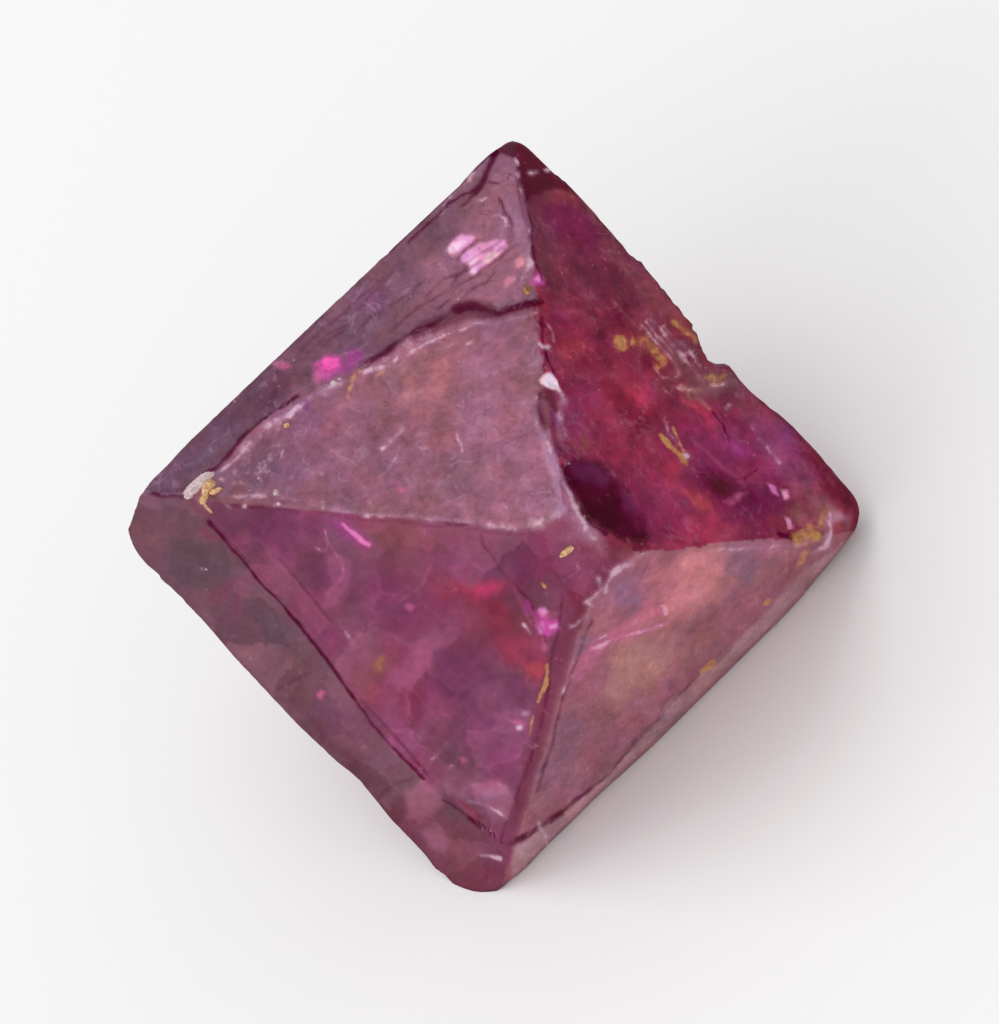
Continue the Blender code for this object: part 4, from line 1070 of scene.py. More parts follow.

# Whitish worn ridges, scratches and bruises, the nose's painted highlight, a painted sheen on the terrace,
# and painted shade along the outline's edges: ink, half width in pixels, strength, pixels
PALE_LINES = (
    ("bruise white", 2.2, 0.8, ((366, 375), (374, 370), (385, 369), (393, 366), (399, 360))),
    ("lilac", 1.6, 0.6, ((405, 360), (416, 352), (436, 341), (456, 334), (477, 326))),
    ("lilac", 1.6, 0.6, ((477, 326), (490, 326), (509, 323), (522, 320), (536, 316))),
    ("lilac", 1.6, 0.5, ((438, 352), (446, 349), (455, 347))),
    ("bruise white", 1.6, 0.8, ((468, 347), (472, 344))),
    ("lilac", 2.6, 0.5, ((345, 384), (330, 390), (312, 398), (299, 409), (286, 420))),
    ("lilac", 4.0, 0.5, ((286, 418), (276, 424), (262, 438), (246, 452))),
    ("lilac", 1.6, 0.6, ((246, 452), (236, 461), (225, 470), (215, 478))),
    ("lilac", 2.4, 0.38, ((225, 498), (250, 496), (279, 497), (310, 503), (340, 510), (360, 514),
        (400, 516))),
    ("lilac", 2.4, 0.42, ((400, 516), (425, 517), (450, 520), (480, 524), (500, 527), (524, 528))),
    ("bruise white", 1.5, 0.7, ((547, 328), (551, 334), (552, 343))),
    ("bruise white", 1.5, 0.6, ((538, 346), (543, 349))),
    ("bruise white", 4.5, 0.6, ((530, 525), (540, 523), (551, 516), (556, 510))),
    ("lilac", 2.0, 0.6, ((516, 174), (521, 190), (525, 210), (528, 230), (529, 250), (530, 262), (533, 276))),
    ("lilac", 1.6, 0.4, ((537, 312), (537, 335), (536, 360), (538, 374))),
    ("lilac", 2.6, 0.6, ((557, 392), (561, 397), (564, 404))),
    ("lilac", 3.0, 0.4, ((564, 404), (562, 414), (560, 426), (562, 440))),
    ("lilac", 2.2, 0.4, ((560, 406), (558, 420), (556, 430), (561, 446), (566, 452))),
    # The nose's bright curved rim and ridge, a painted highlight, in the next three lines
    ("lilac", 1.8, 0.4, ((536, 400), (535, 415), (537, 432), (546, 444), (552, 458))),
    ("lilac", 2.6, 0.6, ((552, 458), (558, 470), (562, 484), (568, 496), (573, 506))),
    ("bruise white", 2.8, 0.6, ((573, 506), (577, 515), (584, 526), (591, 537))),
    ("bruise white", 1.6, 0.7, ((541, 349), (548, 349))),
    ("bruise white", 3.0, 0.75, ((640, 552), (634, 558), (626, 564), (618, 567), (612, 572))),
    ("bruise white", 2.2, 0.7, ((612, 572), (607, 579), (603, 589))),
    ("bruise white", 2.0, 0.7, ((597, 577), (598, 587), (590, 596), (585, 601), (590, 606))),
    ("lilac", 2.8, 0.6, ((590, 606), (587, 613), (578, 620), (568, 625))),
    ("bruise white", 2.0, 0.6, ((384, 450), (393, 441), (405, 431))),
    ("bruise white", 1.5, 0.6, ((382, 477), (390, 470), (398, 458))),
    ("lilac", 1.2, 0.6, ((457, 435), (463, 452))),
    # A bluish streak on the terrace, a painted sheen
    ("violet grey", 2.0, 0.7, ((187, 466), (200, 462), (212, 451), (226, 438), (240, 426))),
    ("lilac", 1.4, 0.3, ((173, 466), (174, 478), (180, 486))),
    ("lilac", 1.5, 0.7, ((463, 209), (475, 203), (488, 199))),
    ("lilac", 1.4, 0.5, ((489, 229), (490, 222), (494, 218), (500, 217), (506, 220), (507, 226), (502, 231))),
    ("lilac", 2.4, 0.6, ((519, 287), (523, 280), (528, 273), (531, 266))),
    ("lilac", 2.6, 0.4, ((487, 160), (470, 178), (450, 198))),
    ("bruise white", 2.0, 0.9, ((530, 174), (538, 172))),
    ("bruise white", 1.6, 0.8, ((545, 172), (549, 171))),
    ("bruise white", 1.4, 0.7, ((514, 161), (517, 166))),
    ("brown", 2.6, 0.6, ((548, 196), (560, 193), (576, 198), (592, 212), (610, 232), (626, 250))),
    ("dusty rose", 2.2, 0.5, ((650, 318), (662, 330), (672, 346), (684, 358), (696, 372), (704, 384))),
    ("dusty rose", 1.6, 0.5, ((664, 326), (676, 340), (690, 352), (700, 366))),
    ("dusty rose", 1.5, 0.5, ((663, 420), (668, 434), (676, 446))),
    ("dusty rose", 1.5, 0.4, ((690, 440), (704, 452), (722, 468), (740, 478))),
    ("dusty rose", 1.5, 0.4, ((610, 300), (622, 314), (640, 330))),
    ("dusty rose", 1.5, 0.6, ((640, 325), (647, 331), (652, 339), (660, 347), (668, 357), (675, 364),
        (680, 373))),
    ("dusty rose", 1.3, 0.5, ((646, 322), (654, 332), (662, 340), (672, 352))),
    ("dusty rose", 1.3, 0.4, ((652, 320), (655, 332), (658, 344))),
    ("ochre light", 2.6, 0.5, ((684, 328), (690, 333), (697, 343))),
    ("olive beige", 2.2, 0.5, ((680, 388), (690, 391), (705, 388), (720, 384), (736, 380))),
    ("dusty rose", 1.4, 0.6, ((655, 371), (660, 378), (672, 379), (680, 374))),
    ("dusty rose", 1.3, 0.5, ((663, 388), (669, 396), (673, 387), (683, 392))),
    ("olive beige", 1.5, 0.5, ((688, 397), (700, 400), (708, 409))),
    ("dusty rose", 1.4, 0.6, ((605, 467), (612, 474), (618, 482))),
    ("bruise white", 1.6, 0.8, ((727, 409), (730, 405))),
    ("bruise white", 1.8, 0.8, ((682, 457), (684, 458))),
    ("bruise white", 1.2, 0.7, ((641, 412), (642, 414))),
    ("dusty rose", 2.0, 0.4, ((740, 410), (752, 428), (766, 446), (780, 462))),
    ("bruise white", 2.4, 0.7, ((539, 822), (543, 832), (547, 845))),
    ("bruise white", 1.4, 0.8, ((480, 855), (490, 856), (500, 858))),
    ("streak pink", 1.5, 0.6, ((589, 648), (602, 643), (618, 636), (643, 630), (666, 623))),
    ("lilac", 1.6, 0.5, ((576, 640), (590, 640), (604, 634))),
    ("dusty rose", 1.6, 0.4, ((776, 546), (778, 556), (775, 568))),
    ("dusty rose", 1.6, 0.4, ((784, 546), (787, 558), (786, 570))),
    ("rose", 1.6, 0.7, ((650, 609), (656, 604), (662, 605), (665, 613))),
    ("bruise white", 2.0, 0.7, ((812, 554), (824, 548), (831, 534), (829, 514))),
    ("lilac", 1.8, 0.4, ((700, 549), (742, 549), (778, 545), (800, 545))),
    ("lilac", 1.4, 0.3, ((430, 760), (438, 751), (447, 742))),
    ("lilac", 1.6, 0.5, ((466, 786), (490, 780), (506, 786))),
    ("lilac", 1.4, 0.4, ((470, 800), (490, 806), (508, 818))),
    ("rose", 1.3, 0.4, ((318, 548), (326, 552), (331, 546), (328, 530))),
    ("rose", 1.3, 0.4, ((330, 592), (345, 575), (343, 560), (334, 547))),
    ("rose", 1.3, 0.4, ((425, 545), (432, 560), (424, 585), (400, 600))),
    ("rose", 1.2, 0.3, ((505, 568), (516, 590), (530, 622))),
    ("dusty rose", 1.8, 0.3, ((340, 620), (352, 640), (370, 655))),
    ("bruise white", 1.2, 0.8, ((523, 623), (526, 626), (529, 631))),
    ("lilac", 1.4, 0.6, ((571, 672), (566, 680), (562, 690))),
    ("lilac", 1.6, 0.5, ((574, 655), (570, 664))),
    ("brown", 1.6, 0.6, ((191, 500), (200, 509), (206, 516), (211, 519))),
    ("bruise white", 1.4, 0.9, ((251, 453), (253, 456))),
    ("bruise white", 1.4, 0.8, ((250, 459), (252, 461))),
    ("bruise white", 1.4, 0.9, ((246, 464), (248, 466))),
    ("bruise white", 1.4, 0.7, ((262, 478), (264, 480))),
    ("bruise white", 1.4, 0.8, ((224, 479), (226, 481))),
    ("bruise white", 1.4, 0.5, ((236, 497), (240, 499))),
    ("bruise white", 1.4, 0.5, ((228, 505), (232, 507))),
    ("bruise white", 1.4, 0.5, ((244, 507), (247, 506))),
    ("dusty rose", 1.5, 0.5, ((255, 438), (264, 432), (276, 428), (288, 420))),
    ("dusty rose", 1.4, 0.5, ((268, 452), (276, 440), (281, 430))),
    ("dusty rose", 1.4, 0.5, ((286, 446), (284, 456), (290, 466))),
    ("bruise white", 1.6, 1.0, ((279, 493), (279, 496))),
    ("bruise white", 1.5, 0.9, ((277, 505), (280, 505))),
    ("bruise white", 1.4, 0.7, ((202, 569), (204, 569))),
    ("bruise white", 1.4, 0.7, ((297, 411), (292, 417))),
    # Dark lines along the outline's edges, painted shade at the rim
    ("tip maroon", 1.6, 0.6, ((529, 148), (548, 167), (582, 200), (610, 231), (640, 262), (672, 301))),
    ("tip maroon", 1.8, 0.7, ((735, 372), (770, 408), (793, 427), (820, 458), (850, 490))),
    ("tip maroon", 1.6, 0.5, ((380, 806), (405, 836), (430, 866), (458, 889), (490, 894))),
)

# Places with fine pale bruises: pixel, half length and half width in pixels, turn, strength
BRUISED = (
    ((252, 470), (46, 20), 32, 0.32),
    ((405, 352), (70, 9), 24, 0.26),
    ((548, 440), (9, 55), 12, 0.24),
    ((340, 500), (110, 7), -6, 0.26),
    ((575, 722), (14, 55), -14, 0.2),
    ((560, 225), (22, 40), 35, 0.14),
    ((690, 345), (40, 14), -45, 0.22),
)

# Rusty iron stains: half width in pixels, strength, pixels
STAIN_LINES = (
    (5.5, 0.75, ((618, 341), (621, 349))),
    (6.5, 0.62, ((635, 341), (642, 341), (649, 347), (655, 354), (661, 362))),
    (5.0, 0.45, ((656, 362), (657, 368))),
    (3.4, 0.75, ((674, 321), (679, 327), (686, 334))),
    (4.5, 0.5, ((706, 377), (716, 378), (728, 374))),
    (2.6, 0.85, ((659, 436), (665, 443), (672, 450), (680, 460), (685, 466))),
    (2.0, 0.65, ((672, 427), (676, 438), (681, 452))),
    (7.0, 0.7, ((797, 538), (806, 532), (816, 537))),
    (4.5, 0.55, ((808, 545), (803, 556), (800, 562))),
    (3.4, 0.55, ((818, 526), (823, 516), (826, 508))),
    (6.0, 0.3, ((640, 330), (660, 350), (690, 372), (716, 384))),
    (2.4, 0.9, ((546, 662), (546, 670), (545, 680), (541, 690), (538, 699))),
    (1.6, 0.6, ((532, 712), (531, 725), (530, 735))),
    (2.6, 0.7, ((356, 375), (353, 384), (350, 397))),
    (1.8, 0.6, ((360, 371), (363, 377))),
    (2.4, 0.7, ((523, 291), (527, 296))),
    (2.2, 0.8, ((765, 604), (769, 601))),
    (3.4, 0.95, ((704, 672), (713, 663))),
    (1.6, 0.5, ((370, 384), (384, 374), (392, 362))),
    (1.6, 0.5, ((526, 340), (528, 350))),
    (1.4, 0.5, ((160, 584), (172, 594), (182, 601))),
    (3.4, 0.8, ((210, 484), (207, 492), (204, 502))),
    (1.8, 0.6, ((541, 580), (545, 585))),
)

# How cloudy and how frosted each face or facet is
CLOUD = {
    UPPER_LEFT: 0.84, UPPER_RIGHT: 0.90, LOWER_LEFT: 0.84, LOWER_RIGHT: 0.86,
    BACK_UPPER_LEFT: 0.75, BACK_UPPER_RIGHT: 0.78, BACK_LOWER_LEFT: 0.75, REST_FACE: 0.75,
    "band": 0.80, "nose": 0.84, "corner": 0.84, "chip": 0.86,
}
FROST = {
    UPPER_LEFT: 0.60, UPPER_RIGHT: 0.85, LOWER_LEFT: 0.30, LOWER_RIGHT: 0.42,
    BACK_UPPER_LEFT: 0.45, BACK_UPPER_RIGHT: 0.60, BACK_LOWER_LEFT: 0.40, REST_FACE: 0.55,
    "band": 0.10, "nose": 0.45, "corner": 0.40, "chip": 0.70,
}

# The green above which an ink counts as whitish, and how wide the painted shade along the outline is, in
# pixels
PALE_GREEN = 100
SHADED_RIM_WIDTH = 3.0

# The finest half width that the mesh shows a line with, in pixels, and how much wider all lines are drawn
FINEST_LINE = 1.4
LINE_WIDENING = 1.1

# Fine scratches: how many there are for each point, their parts, greatest bend for each part, and the
# ranges of their strength and half width
STROKE_SHARE = 0.0035
STROKE_PARTS = 4
STROKE_BEND = 0.25
STROKE_STRENGTHS = (0.4, 1.0)
STROKE_WIDTHS = (1.2, 1.8)

# Growth cells and how wide their borders are, and how far noise moves them and the clouds, in pixels
CELL_SIZE = 48.0
CELL_BORDER = 2.4
CLOUD_WOBBLE = 14.0

# How far noise moves the places of lines, flashes and spots, in pixels
LINE_WOBBLE = 1.6
FLASH_WOBBLE = 3.0
SPOT_WOBBLE = 15.0

# How often the facets' colours are softened, and how much of its own colour a point keeps each time
SOFTENINGS = 9
KEPT_SHARE = 0.3


def near_line(places, line, margin):
    """Which places are within a margin of a line's box."""
    low, high = np.min(line, axis=0) - margin, np.max(line, axis=0) + margin
    return np.nonzero(np.all((places > low) & (places < high), axis=1))[0]


def inside_outline(places, outline, rim):
    """Runs softly from 0 outside an outline to 1 inside it, over a rim in pixels."""
    near = near_line(places, outline, rim)
    outline = list(outline) + [outline[0]]
    x, y = places[near].T
    inside = np.zeros(len(near), dtype=bool)
    for (x0, y0), (x1, y1) in zip(outline, outline[1:]):
        # Counts the sides that a line to the right of each place crosses
        crosses = (y0 > y) != (y1 > y)
        at = x0 + (y - y0) * (x1 - x0) / ((y1 - y0) or 1.0)
        inside ^= crosses & (x < at)
    distance = np.abs(line_distance(places[near], outline))
    field = np.zeros(len(places))
    field[near] = smooth(np.where(inside, distance, -distance), -rim, rim)
    return field


def lines_field(places, lines, breaks):
    """Strength of a set of lines at each place, soft at the sides and uneven in width and strength."""
    field = np.zeros(len(places))
    for width, strength, line in lines:
        width = LINE_WIDENING * max(width, FINEST_LINE)
        near = near_line(places, line, 4.0 * width)
        uneven = breaks[near]
        distance = np.abs(line_distance(places[near], line)) / (width * (1.0 + 0.7 * uneven))
        field[near] = np.maximum(field[near], strength * (1.0 + uneven) * np.exp(-distance ** 2.5))
    return np.clip(field, 0.0, 1.0)


def strokes(places, count, turn, spread, lengths, seed):
    """Fine hair-like scratches scattered over the places, as a strength from 0 to 1."""
    chance = np.random.default_rng(seed)
    low, high = places.min(axis=0), places.max(axis=0)
    field = np.zeros(len(places))
    for _ in range(count):
        head = low + chance.random(2) * (high - low)
        angle = math.radians(turn + spread * chance.uniform(-1.0, 1.0))
        length = chance.uniform(*lengths)
        bend = chance.uniform(-STROKE_BEND, STROKE_BEND)
        strength = chance.uniform(*STROKE_STRENGTHS)
        width = chance.uniform(*STROKE_WIDTHS)
        line = [head]
        for part in range(STROKE_PARTS):
            heading = angle + bend * part
            run = np.array((math.cos(heading), -math.sin(heading)))
            line.append(line[-1] + run * length / STROKE_PARTS)
        near = np.nonzero(np.all(np.abs(places - line[2]) < length + 6.0, axis=1))[0]
        distance = np.abs(line_distance(places[near], line))
        field[near] = np.maximum(field[near], strength * np.exp(-(distance / width) ** 2))
    return field


def turned(places, turn, long_way, wide_way):
    """Places counted in lengths along a direction and in widths across it, for stretched noise."""
    angle = math.radians(turn)
    along = places @ (math.cos(angle), -math.sin(angle)) / long_way
    across = places @ (math.sin(angle), math.cos(angle)) / wide_way
    return np.stack((along, across, np.zeros(len(places))), axis=1)


def cells(places, size, seed):
    """Straight-edged cells of a size in pixels: a shade from -1 to 1 for each, and distance to a border."""
    shade = np.empty(len(places))
    gap = np.empty(len(places))
    for index, place in enumerate(places / size):
        distances, centres = noise.voronoi(Vector((place[0], place[1], seed)))
        shade[index] = noise.noise(centres[0] * 5.3)
        gap[index] = distances[1] - distances[0]
    return np.clip(2.2 * shade, -1.0, 1.0), gap * size


def face_places(points, face):
    """Where points are on a face, counted in pixels."""
    middle, along, upward = face_axes(face)
    return np.stack(((points - middle) @ along, (middle - points) @ upward), axis=1) / PIXEL


def mix(colours, name, share, shade=1.0):
    """Mixes a share of an ink, which may be shaded, into colours."""
    share = np.clip(share, 0.0, 1.0)[:, None]
    return colours * (1.0 - share) + linear(INKS[name]) * share * shade


def clouded(points, places, look, seed):
    """The colours of one face from its look."""
    base, warm, cool, drift, turn, cloud, streak, fine, cell, vein = look
    colours = np.tile(linear(INKS[base]), (len(points), 1))
    wander = CLOUD_WOBBLE * np.stack((grain(points, 0.9, 4, seed), grain(points, 0.9, 4, seed + 1.0)), axis=1)
    hue = grain(turned(places + wander, turn, 70.0, 42.0), 1.0, 5, seed + 2.0)
    colours = mix(colours, warm, drift * smooth(hue, 0.02, 0.55))
    colours = mix(colours, cool, drift * smooth(-hue, 0.02, 0.55))
    shade = cloud * grain(places @ np.eye(2, 3), 30.0, 5, seed + 3.0)
    shade = shade + streak * grain(turned(places + 0.4 * wander, turn, 42.0, 7.0), 1.0, 3, seed + 4.0)
    shade = shade + fine * grain(points, 0.36, 4, seed + 5.0)
    if cell:
        tone, gap = cells(places + 0.7 * wander, CELL_SIZE, seed)
        shade = shade + 0.22 * cell * tone
        edge = np.exp(-(gap / CELL_BORDER) ** 2) * smooth(hue, -0.1, 0.5)
        colours = mix(colours, "dusty rose", 0.25 * cell * edge)
    count = int(1.0 + STROKE_SHARE * len(places))
    patchy = smooth(grain(points, 1.2, 3, seed + 7.0), -0.5, 0.5)
    pale = strokes(places, count, turn, 30.0, (10.0, 46.0), int(seed) + 1) * patchy
    dark = strokes(places, count, turn, 30.0, (12.0, 50.0), int(seed) + 2) * (1.2 - patchy)
    colours = colours * np.exp(1.5 * shade)[:, None]
    return mix(mix(colours, "dusty rose", 0.6 * vein * pale), "dark plum", 0.6 * vein * dark)


def soften(mesh, colours, own):
    """Lets the colours round the small facets' points run into them."""
    ends = np.empty(2 * len(mesh.edges), dtype=int)
    mesh.edges.foreach_get("vertices", ends)
    first, second = ends.reshape(-1, 2)[own[ends].reshape(-1, 2).any(axis=1)].T
    counts = np.bincount(np.concatenate((first, second)), minlength=len(colours))
    for _ in range(SOFTENINGS):
        for channel in range(3):
            values = colours[:, channel]
            flow = np.bincount(first, values[second], len(values))
            flow = flow + np.bincount(second, values[first], len(values))
            mean = flow[own] / counts[own]
            colours[own, channel] = KEPT_SHARE * values[own] + (1.0 - KEPT_SHARE) * mean


def own_colours(points, places, kind_ids):
    """The colour of every point from the look of its own face or facet."""
    colours = np.zeros((len(points), 3))
    for index, (name, look) in enumerate(LOOKS.items()):
        own = np.nonzero(kind_ids == index)[0]
        hidden = isinstance(name, tuple) and name[2] < 0
        own_places = face_places(points[own], name) if hidden else places[own]
        inside = points[own] if hidden else drawn_out(points[own])
        colours[own] = clouded(inside, own_places, look, 10.0 * index + 5.0)
    return colours


def shown_colours(points, places, kind_ids, colours, cloud, pale):
    """What the photograph shows on the viewer's side: colours with painted glows, reflections, highlights and
    shade, cloudiness, pale, dark and stained places.
    """
    shown = drawn_out(points)
    shift = np.stack((grain(shown, 0.6, 5, 62.0), grain(shown, 0.6, 5, 63.0)), axis=1)
    line_places = places + LINE_WOBBLE * shift
    flash_places = places + FLASH_WOBBLE * shift
    spot_places = places + SPOT_WOBBLE * shift
    breaks = np.clip(grain(shown, 0.35, 4, 64.0), -0.8, 0.8)
    shading = np.exp(0.3 * grain(shown, 0.5, 5, 65.0))[:, None]
    texture = (colours / colours.mean(axis=0)).mean(axis=1)[:, None] ** 0.6

    # Areas of colour, some with a painted sheen or highlight
    for name, face, outline, rim, strength in AREAS:
        share = strength * inside_outline(flash_places, outline, rim)
        if face:
            share = share * (kind_ids == list(LOOKS).index(face))
        colours = mix(colours, name, share, texture)
        # The dark window is colour on a fully cloudy skin
        if name.endswith("black"):
            cloud = np.maximum(cloud, share)
    # Spots: zones of colour, and painted glow where light comes through
    for name, pixel, size, turn, strength in SPOTS:
        # A spot stays on the face that its middle is on
        same_face = kind_ids == kind_ids[np.argmin(np.hypot(*(places - pixel).T))]
        away = oval_distance(spot_places, pixel, size, turn)
        colours = mix(colours, name, strength * np.exp(-0.8 * away ** 2) * same_face, shading)
    # Flashes: painted reflections off healed cracks, on a cloudier skin, and other sharp patches
    for name, outline, rim, strength in FLASHES:
        share = strength * inside_outline(flash_places, outline, rim)
        colours = mix(colours, name, share)
        cloud = np.maximum(cloud, 0.9 * share)

    # Painted shade in the grooves and at the ledges' feet, with dark cracks and stripes
    dark = lines_field(line_places, SHADE_AND_CRACK_LINES, 0.45 * breaks)
    stain = lines_field(line_places, STAIN_LINES, 0.45 * breaks)
    pale = 0.3 * pale
    colours = mix(colours, "dark plum", 0.80 * dark)
    # Worn whitish lines, the nose's painted highlight and the terrace's painted sheen, and painted shade
    # along the outline's edges
    for name, width, strength, line in PALE_LINES:
        worn = lines_field(line_places, ((width, strength, line),), breaks)
        colours = mix(colours, name, 0.5 * worn)
        if INKS[name][1] > PALE_GREEN:
            pale = np.maximum(pale, 0.8 * worn)
    for pixel, size, turn, strength in BRUISED:
        away = oval_distance(flash_places, pixel, size, turn)
        pale = np.maximum(pale, strength * np.exp(-0.8 * away ** 2))
    # Painted shade: a darker rim all along the outline as seen
    offset = places - OUTLINE_CENTRE
    margin = outline_reach(np.arctan2(offset[:, 1], offset[:, 0])) - np.hypot(*offset.T)
    painted_rim_shade = 0.35 * np.exp(-(np.maximum(margin, 0.0) / SHADED_RIM_WIDTH) ** 2)
    return mix(colours, "painted rim shade", painted_rim_shade), cloud, pale, dark, stain


def paint_crystal(mesh, points, kinds, ridge_gap):
    """Works out the colour and the finish of every point, the viewer's side from the photograph."""
    places = pixels_of(points)
    kind_ids = np.array([list(LOOKS).index(kind) for kind in kinds])
    colour = own_colours(points, places, kind_ids)
    soften(mesh, colour, kind_ids >= len(GROWTH))
    cloud = np.array([CLOUD[kind] for kind in kinds])
    frost = np.array([FROST[kind] for kind in kinds])
    ridges = np.exp(-(ridge_gap / WORN_WIDTH) ** 2)
    pale = 0.75 * ridges * smooth(grain(points, 0.5, 3, 61.0), -0.1, 0.5)
    dark = np.zeros(len(points))
    stain = np.zeros(len(points))

    front = points[:, 2] > FRONT_DEPTH
    marks = (points, places, kind_ids, colour, cloud, pale)
    marks = shown_colours(*(values[front] for values in marks))
    colour[front], cloud[front], pale[front], dark[front], stain[front] = marks
    stain[~front] = 0.9 * smooth(grain(points[~front], 0.8, 4, 71.0), 0.50, 0.85)

    # The cloudy share's paint, so that both shares together look like the colour: less the clear share's
    # brightness and divided by how brightly each face is lit, so faces that get less light are painted
    # lighter
    light, haze = np.array([LIGHT[kind] for kind in kinds]).T
    paint = (colour - (haze * (1.0 - cloud))[:, None]) / (light * cloud)[:, None]
    store_colour(mesh, "tint", np.clip(paint, 0.0, 1.0))
    fields = {"cloud": cloud, "frost": frost, "pale": pale, "dark": dark, "stain": stain}
    for name, values in fields.items():
        store(mesh, name, values)


# Materials

# Spinel's refraction, how strongly the clear share absorbs light for each metre, and the height of bumps
SPINEL_IOR = 1.718
SPINEL_DENSITY = 230.0
BUMP_HEIGHT = 0.02 * MM


class Value:
    """A shader socket that sums can be written with."""

    def __init__(self, finish, socket):
        self.finish = finish
        self.socket = socket

    def sum_with(self, operation, first, second):
        """Adds the Math node of one operation."""
        return self.finish.node("ShaderNodeMath", {"operation": operation}, {0: first, 1: second})

    def __add__(self, other):
        return self.sum_with("ADD", self, other)

    def __radd__(self, other):
        return self.sum_with("ADD", other, self)

    def __sub__(self, other):
        return self.sum_with("SUBTRACT", self, other)

    def __rsub__(self, other):
        return self.sum_with("SUBTRACT", other, self)

    def __mul__(self, other):
        return self.sum_with("MULTIPLY", self, other)

    def __rmul__(self, other):
        return self.sum_with("MULTIPLY", other, self)


class Finish:
    """A material and the nodes it is made of."""

    def __init__(self, name):
        self.material = bpy.data.materials.new(name)
        self.material.use_nodes = True
        self.nodes = self.material.node_tree.nodes
        self.links = self.material.node_tree.links
        self.nodes.clear()
        self.output = self.nodes.new("ShaderNodeOutputMaterial")

    def node(self, kind, settings=None, inputs=None, output=0):
        """Adds a node: its settings first, then the values or links of its sockets."""
        node = self.nodes.new(kind)
        for name, value in (settings or {}).items():
            setattr(node, name, value)
        for name, value in (inputs or {}).items():
            if isinstance(value, Value):
                self.links.new(value.socket, node.inputs[name])
            else:
                node.inputs[name].default_value = value
        return Value(self, node.outputs[output])

    def places(self, seed=0.0):
        """Object coordinates in millimetres on the view's axes, with less depth."""
        where = self.node("ShaderNodeTexCoord", output="Object")
        turn = tuple(Matrix((WORLD @ VIEW.T).tolist()).to_euler())
        inputs = {
            "Vector": where,
            "Location": (seed * MM, 0.0, 0.0),
            "Rotation": turn,
            "Scale": (MM, MM, DEPTH_STRETCH * MM),
        }
        return self.node("ShaderNodeMapping", {"vector_type": "TEXTURE"}, inputs)

    def noise(self, size, detail=3.0, roughness=0.55, distortion=0.0, seed=0.0):
        """Noise from 0 to 1 with lumps of a size in millimetres."""
        inputs = {
            "Vector": self.places(seed),
            "Scale": 1.0 / size,
            "Detail": detail,
            "Roughness": roughness,
            "Distortion": distortion,
        }
        return self.node("ShaderNodeTexNoise", None, inputs)

    def strokes(self, turn, long_way, wide_way, seed):
        """Noise drawn out at a turn in degrees, as seen in the photograph, for hairs and fibres."""
        angle = math.radians(turn)
        where = self.node("ShaderNodeTexCoord", output="Object")
        ways = {
            "X": (math.cos(angle), math.sin(angle), long_way),
            "Y": (-math.sin(angle), math.cos(angle), wide_way),
        }
        parts = {"Z": seed}
        for axis, (across, up, size) in ways.items():
            way = WORLD @ (VIEW.T @ (across, up, 0.0)) / (size * MM)
            inputs = {0: where, 1: tuple(way)}
            parts[axis] = self.node("ShaderNodeVectorMath", {"operation": "DOT_PRODUCT"}, inputs, output=1)
        place = self.node("ShaderNodeCombineXYZ", None, parts)
        inputs = {"Vector": place, "Scale": 1.0, "Detail": 3.0, "Roughness": 0.6, "Distortion": 1.6}
        return self.node("ShaderNodeTexNoise", None, inputs)

    def speckle(self, size):
        """Distance from 0 to about 1 to scattered specks."""
        inputs = {"Vector": self.places(), "Scale": 1.0 / size}
        return self.node("ShaderNodeTexVoronoi", None, inputs)

    def size_of(self, value):
        """A value without its sign."""
        return self.node("ShaderNodeMath", {"operation": "ABSOLUTE"}, {0: value})

    def painted(self, name, output="Fac"):
        """A number or colour that is kept with the mesh's points."""
        return self.node("ShaderNodeAttribute", {"attribute_name": name}, output=output)

    def step(self, value, start, end, low=0.0, high=1.0):
        """Runs softly from low to high while a value runs from start to end."""
        inputs = {"Value": value, "From Min": start, "From Max": end, "To Min": low, "To Max": high}
        return self.node("ShaderNodeMapRange", {"interpolation_type": "SMOOTHSTEP"}, inputs)

    def blend(self, share, first, second, way="MIX"):
        """Mixes two colours."""
        settings = {"data_type": "RGBA", "blend_type": way}
        return self.node("ShaderNodeMix", settings, {0: share, 6: first, 7: second}, output=2)

    def surface(self, inputs):
        """A Principled shader."""
        return self.node("ShaderNodeBsdfPrincipled", None, inputs)

    def finished(self, surface, volume=None):
        """The material, once its surface and any volume are joined to its output."""
        self.links.new(surface.socket, self.output.inputs["Surface"])
        if volume is not None:
            self.links.new(volume.socket, self.output.inputs["Volume"])
        return self.material


def tint_of(name):
    """A mixed-in colour as a socket takes it."""
    return (*TINTS[name], 1.0)


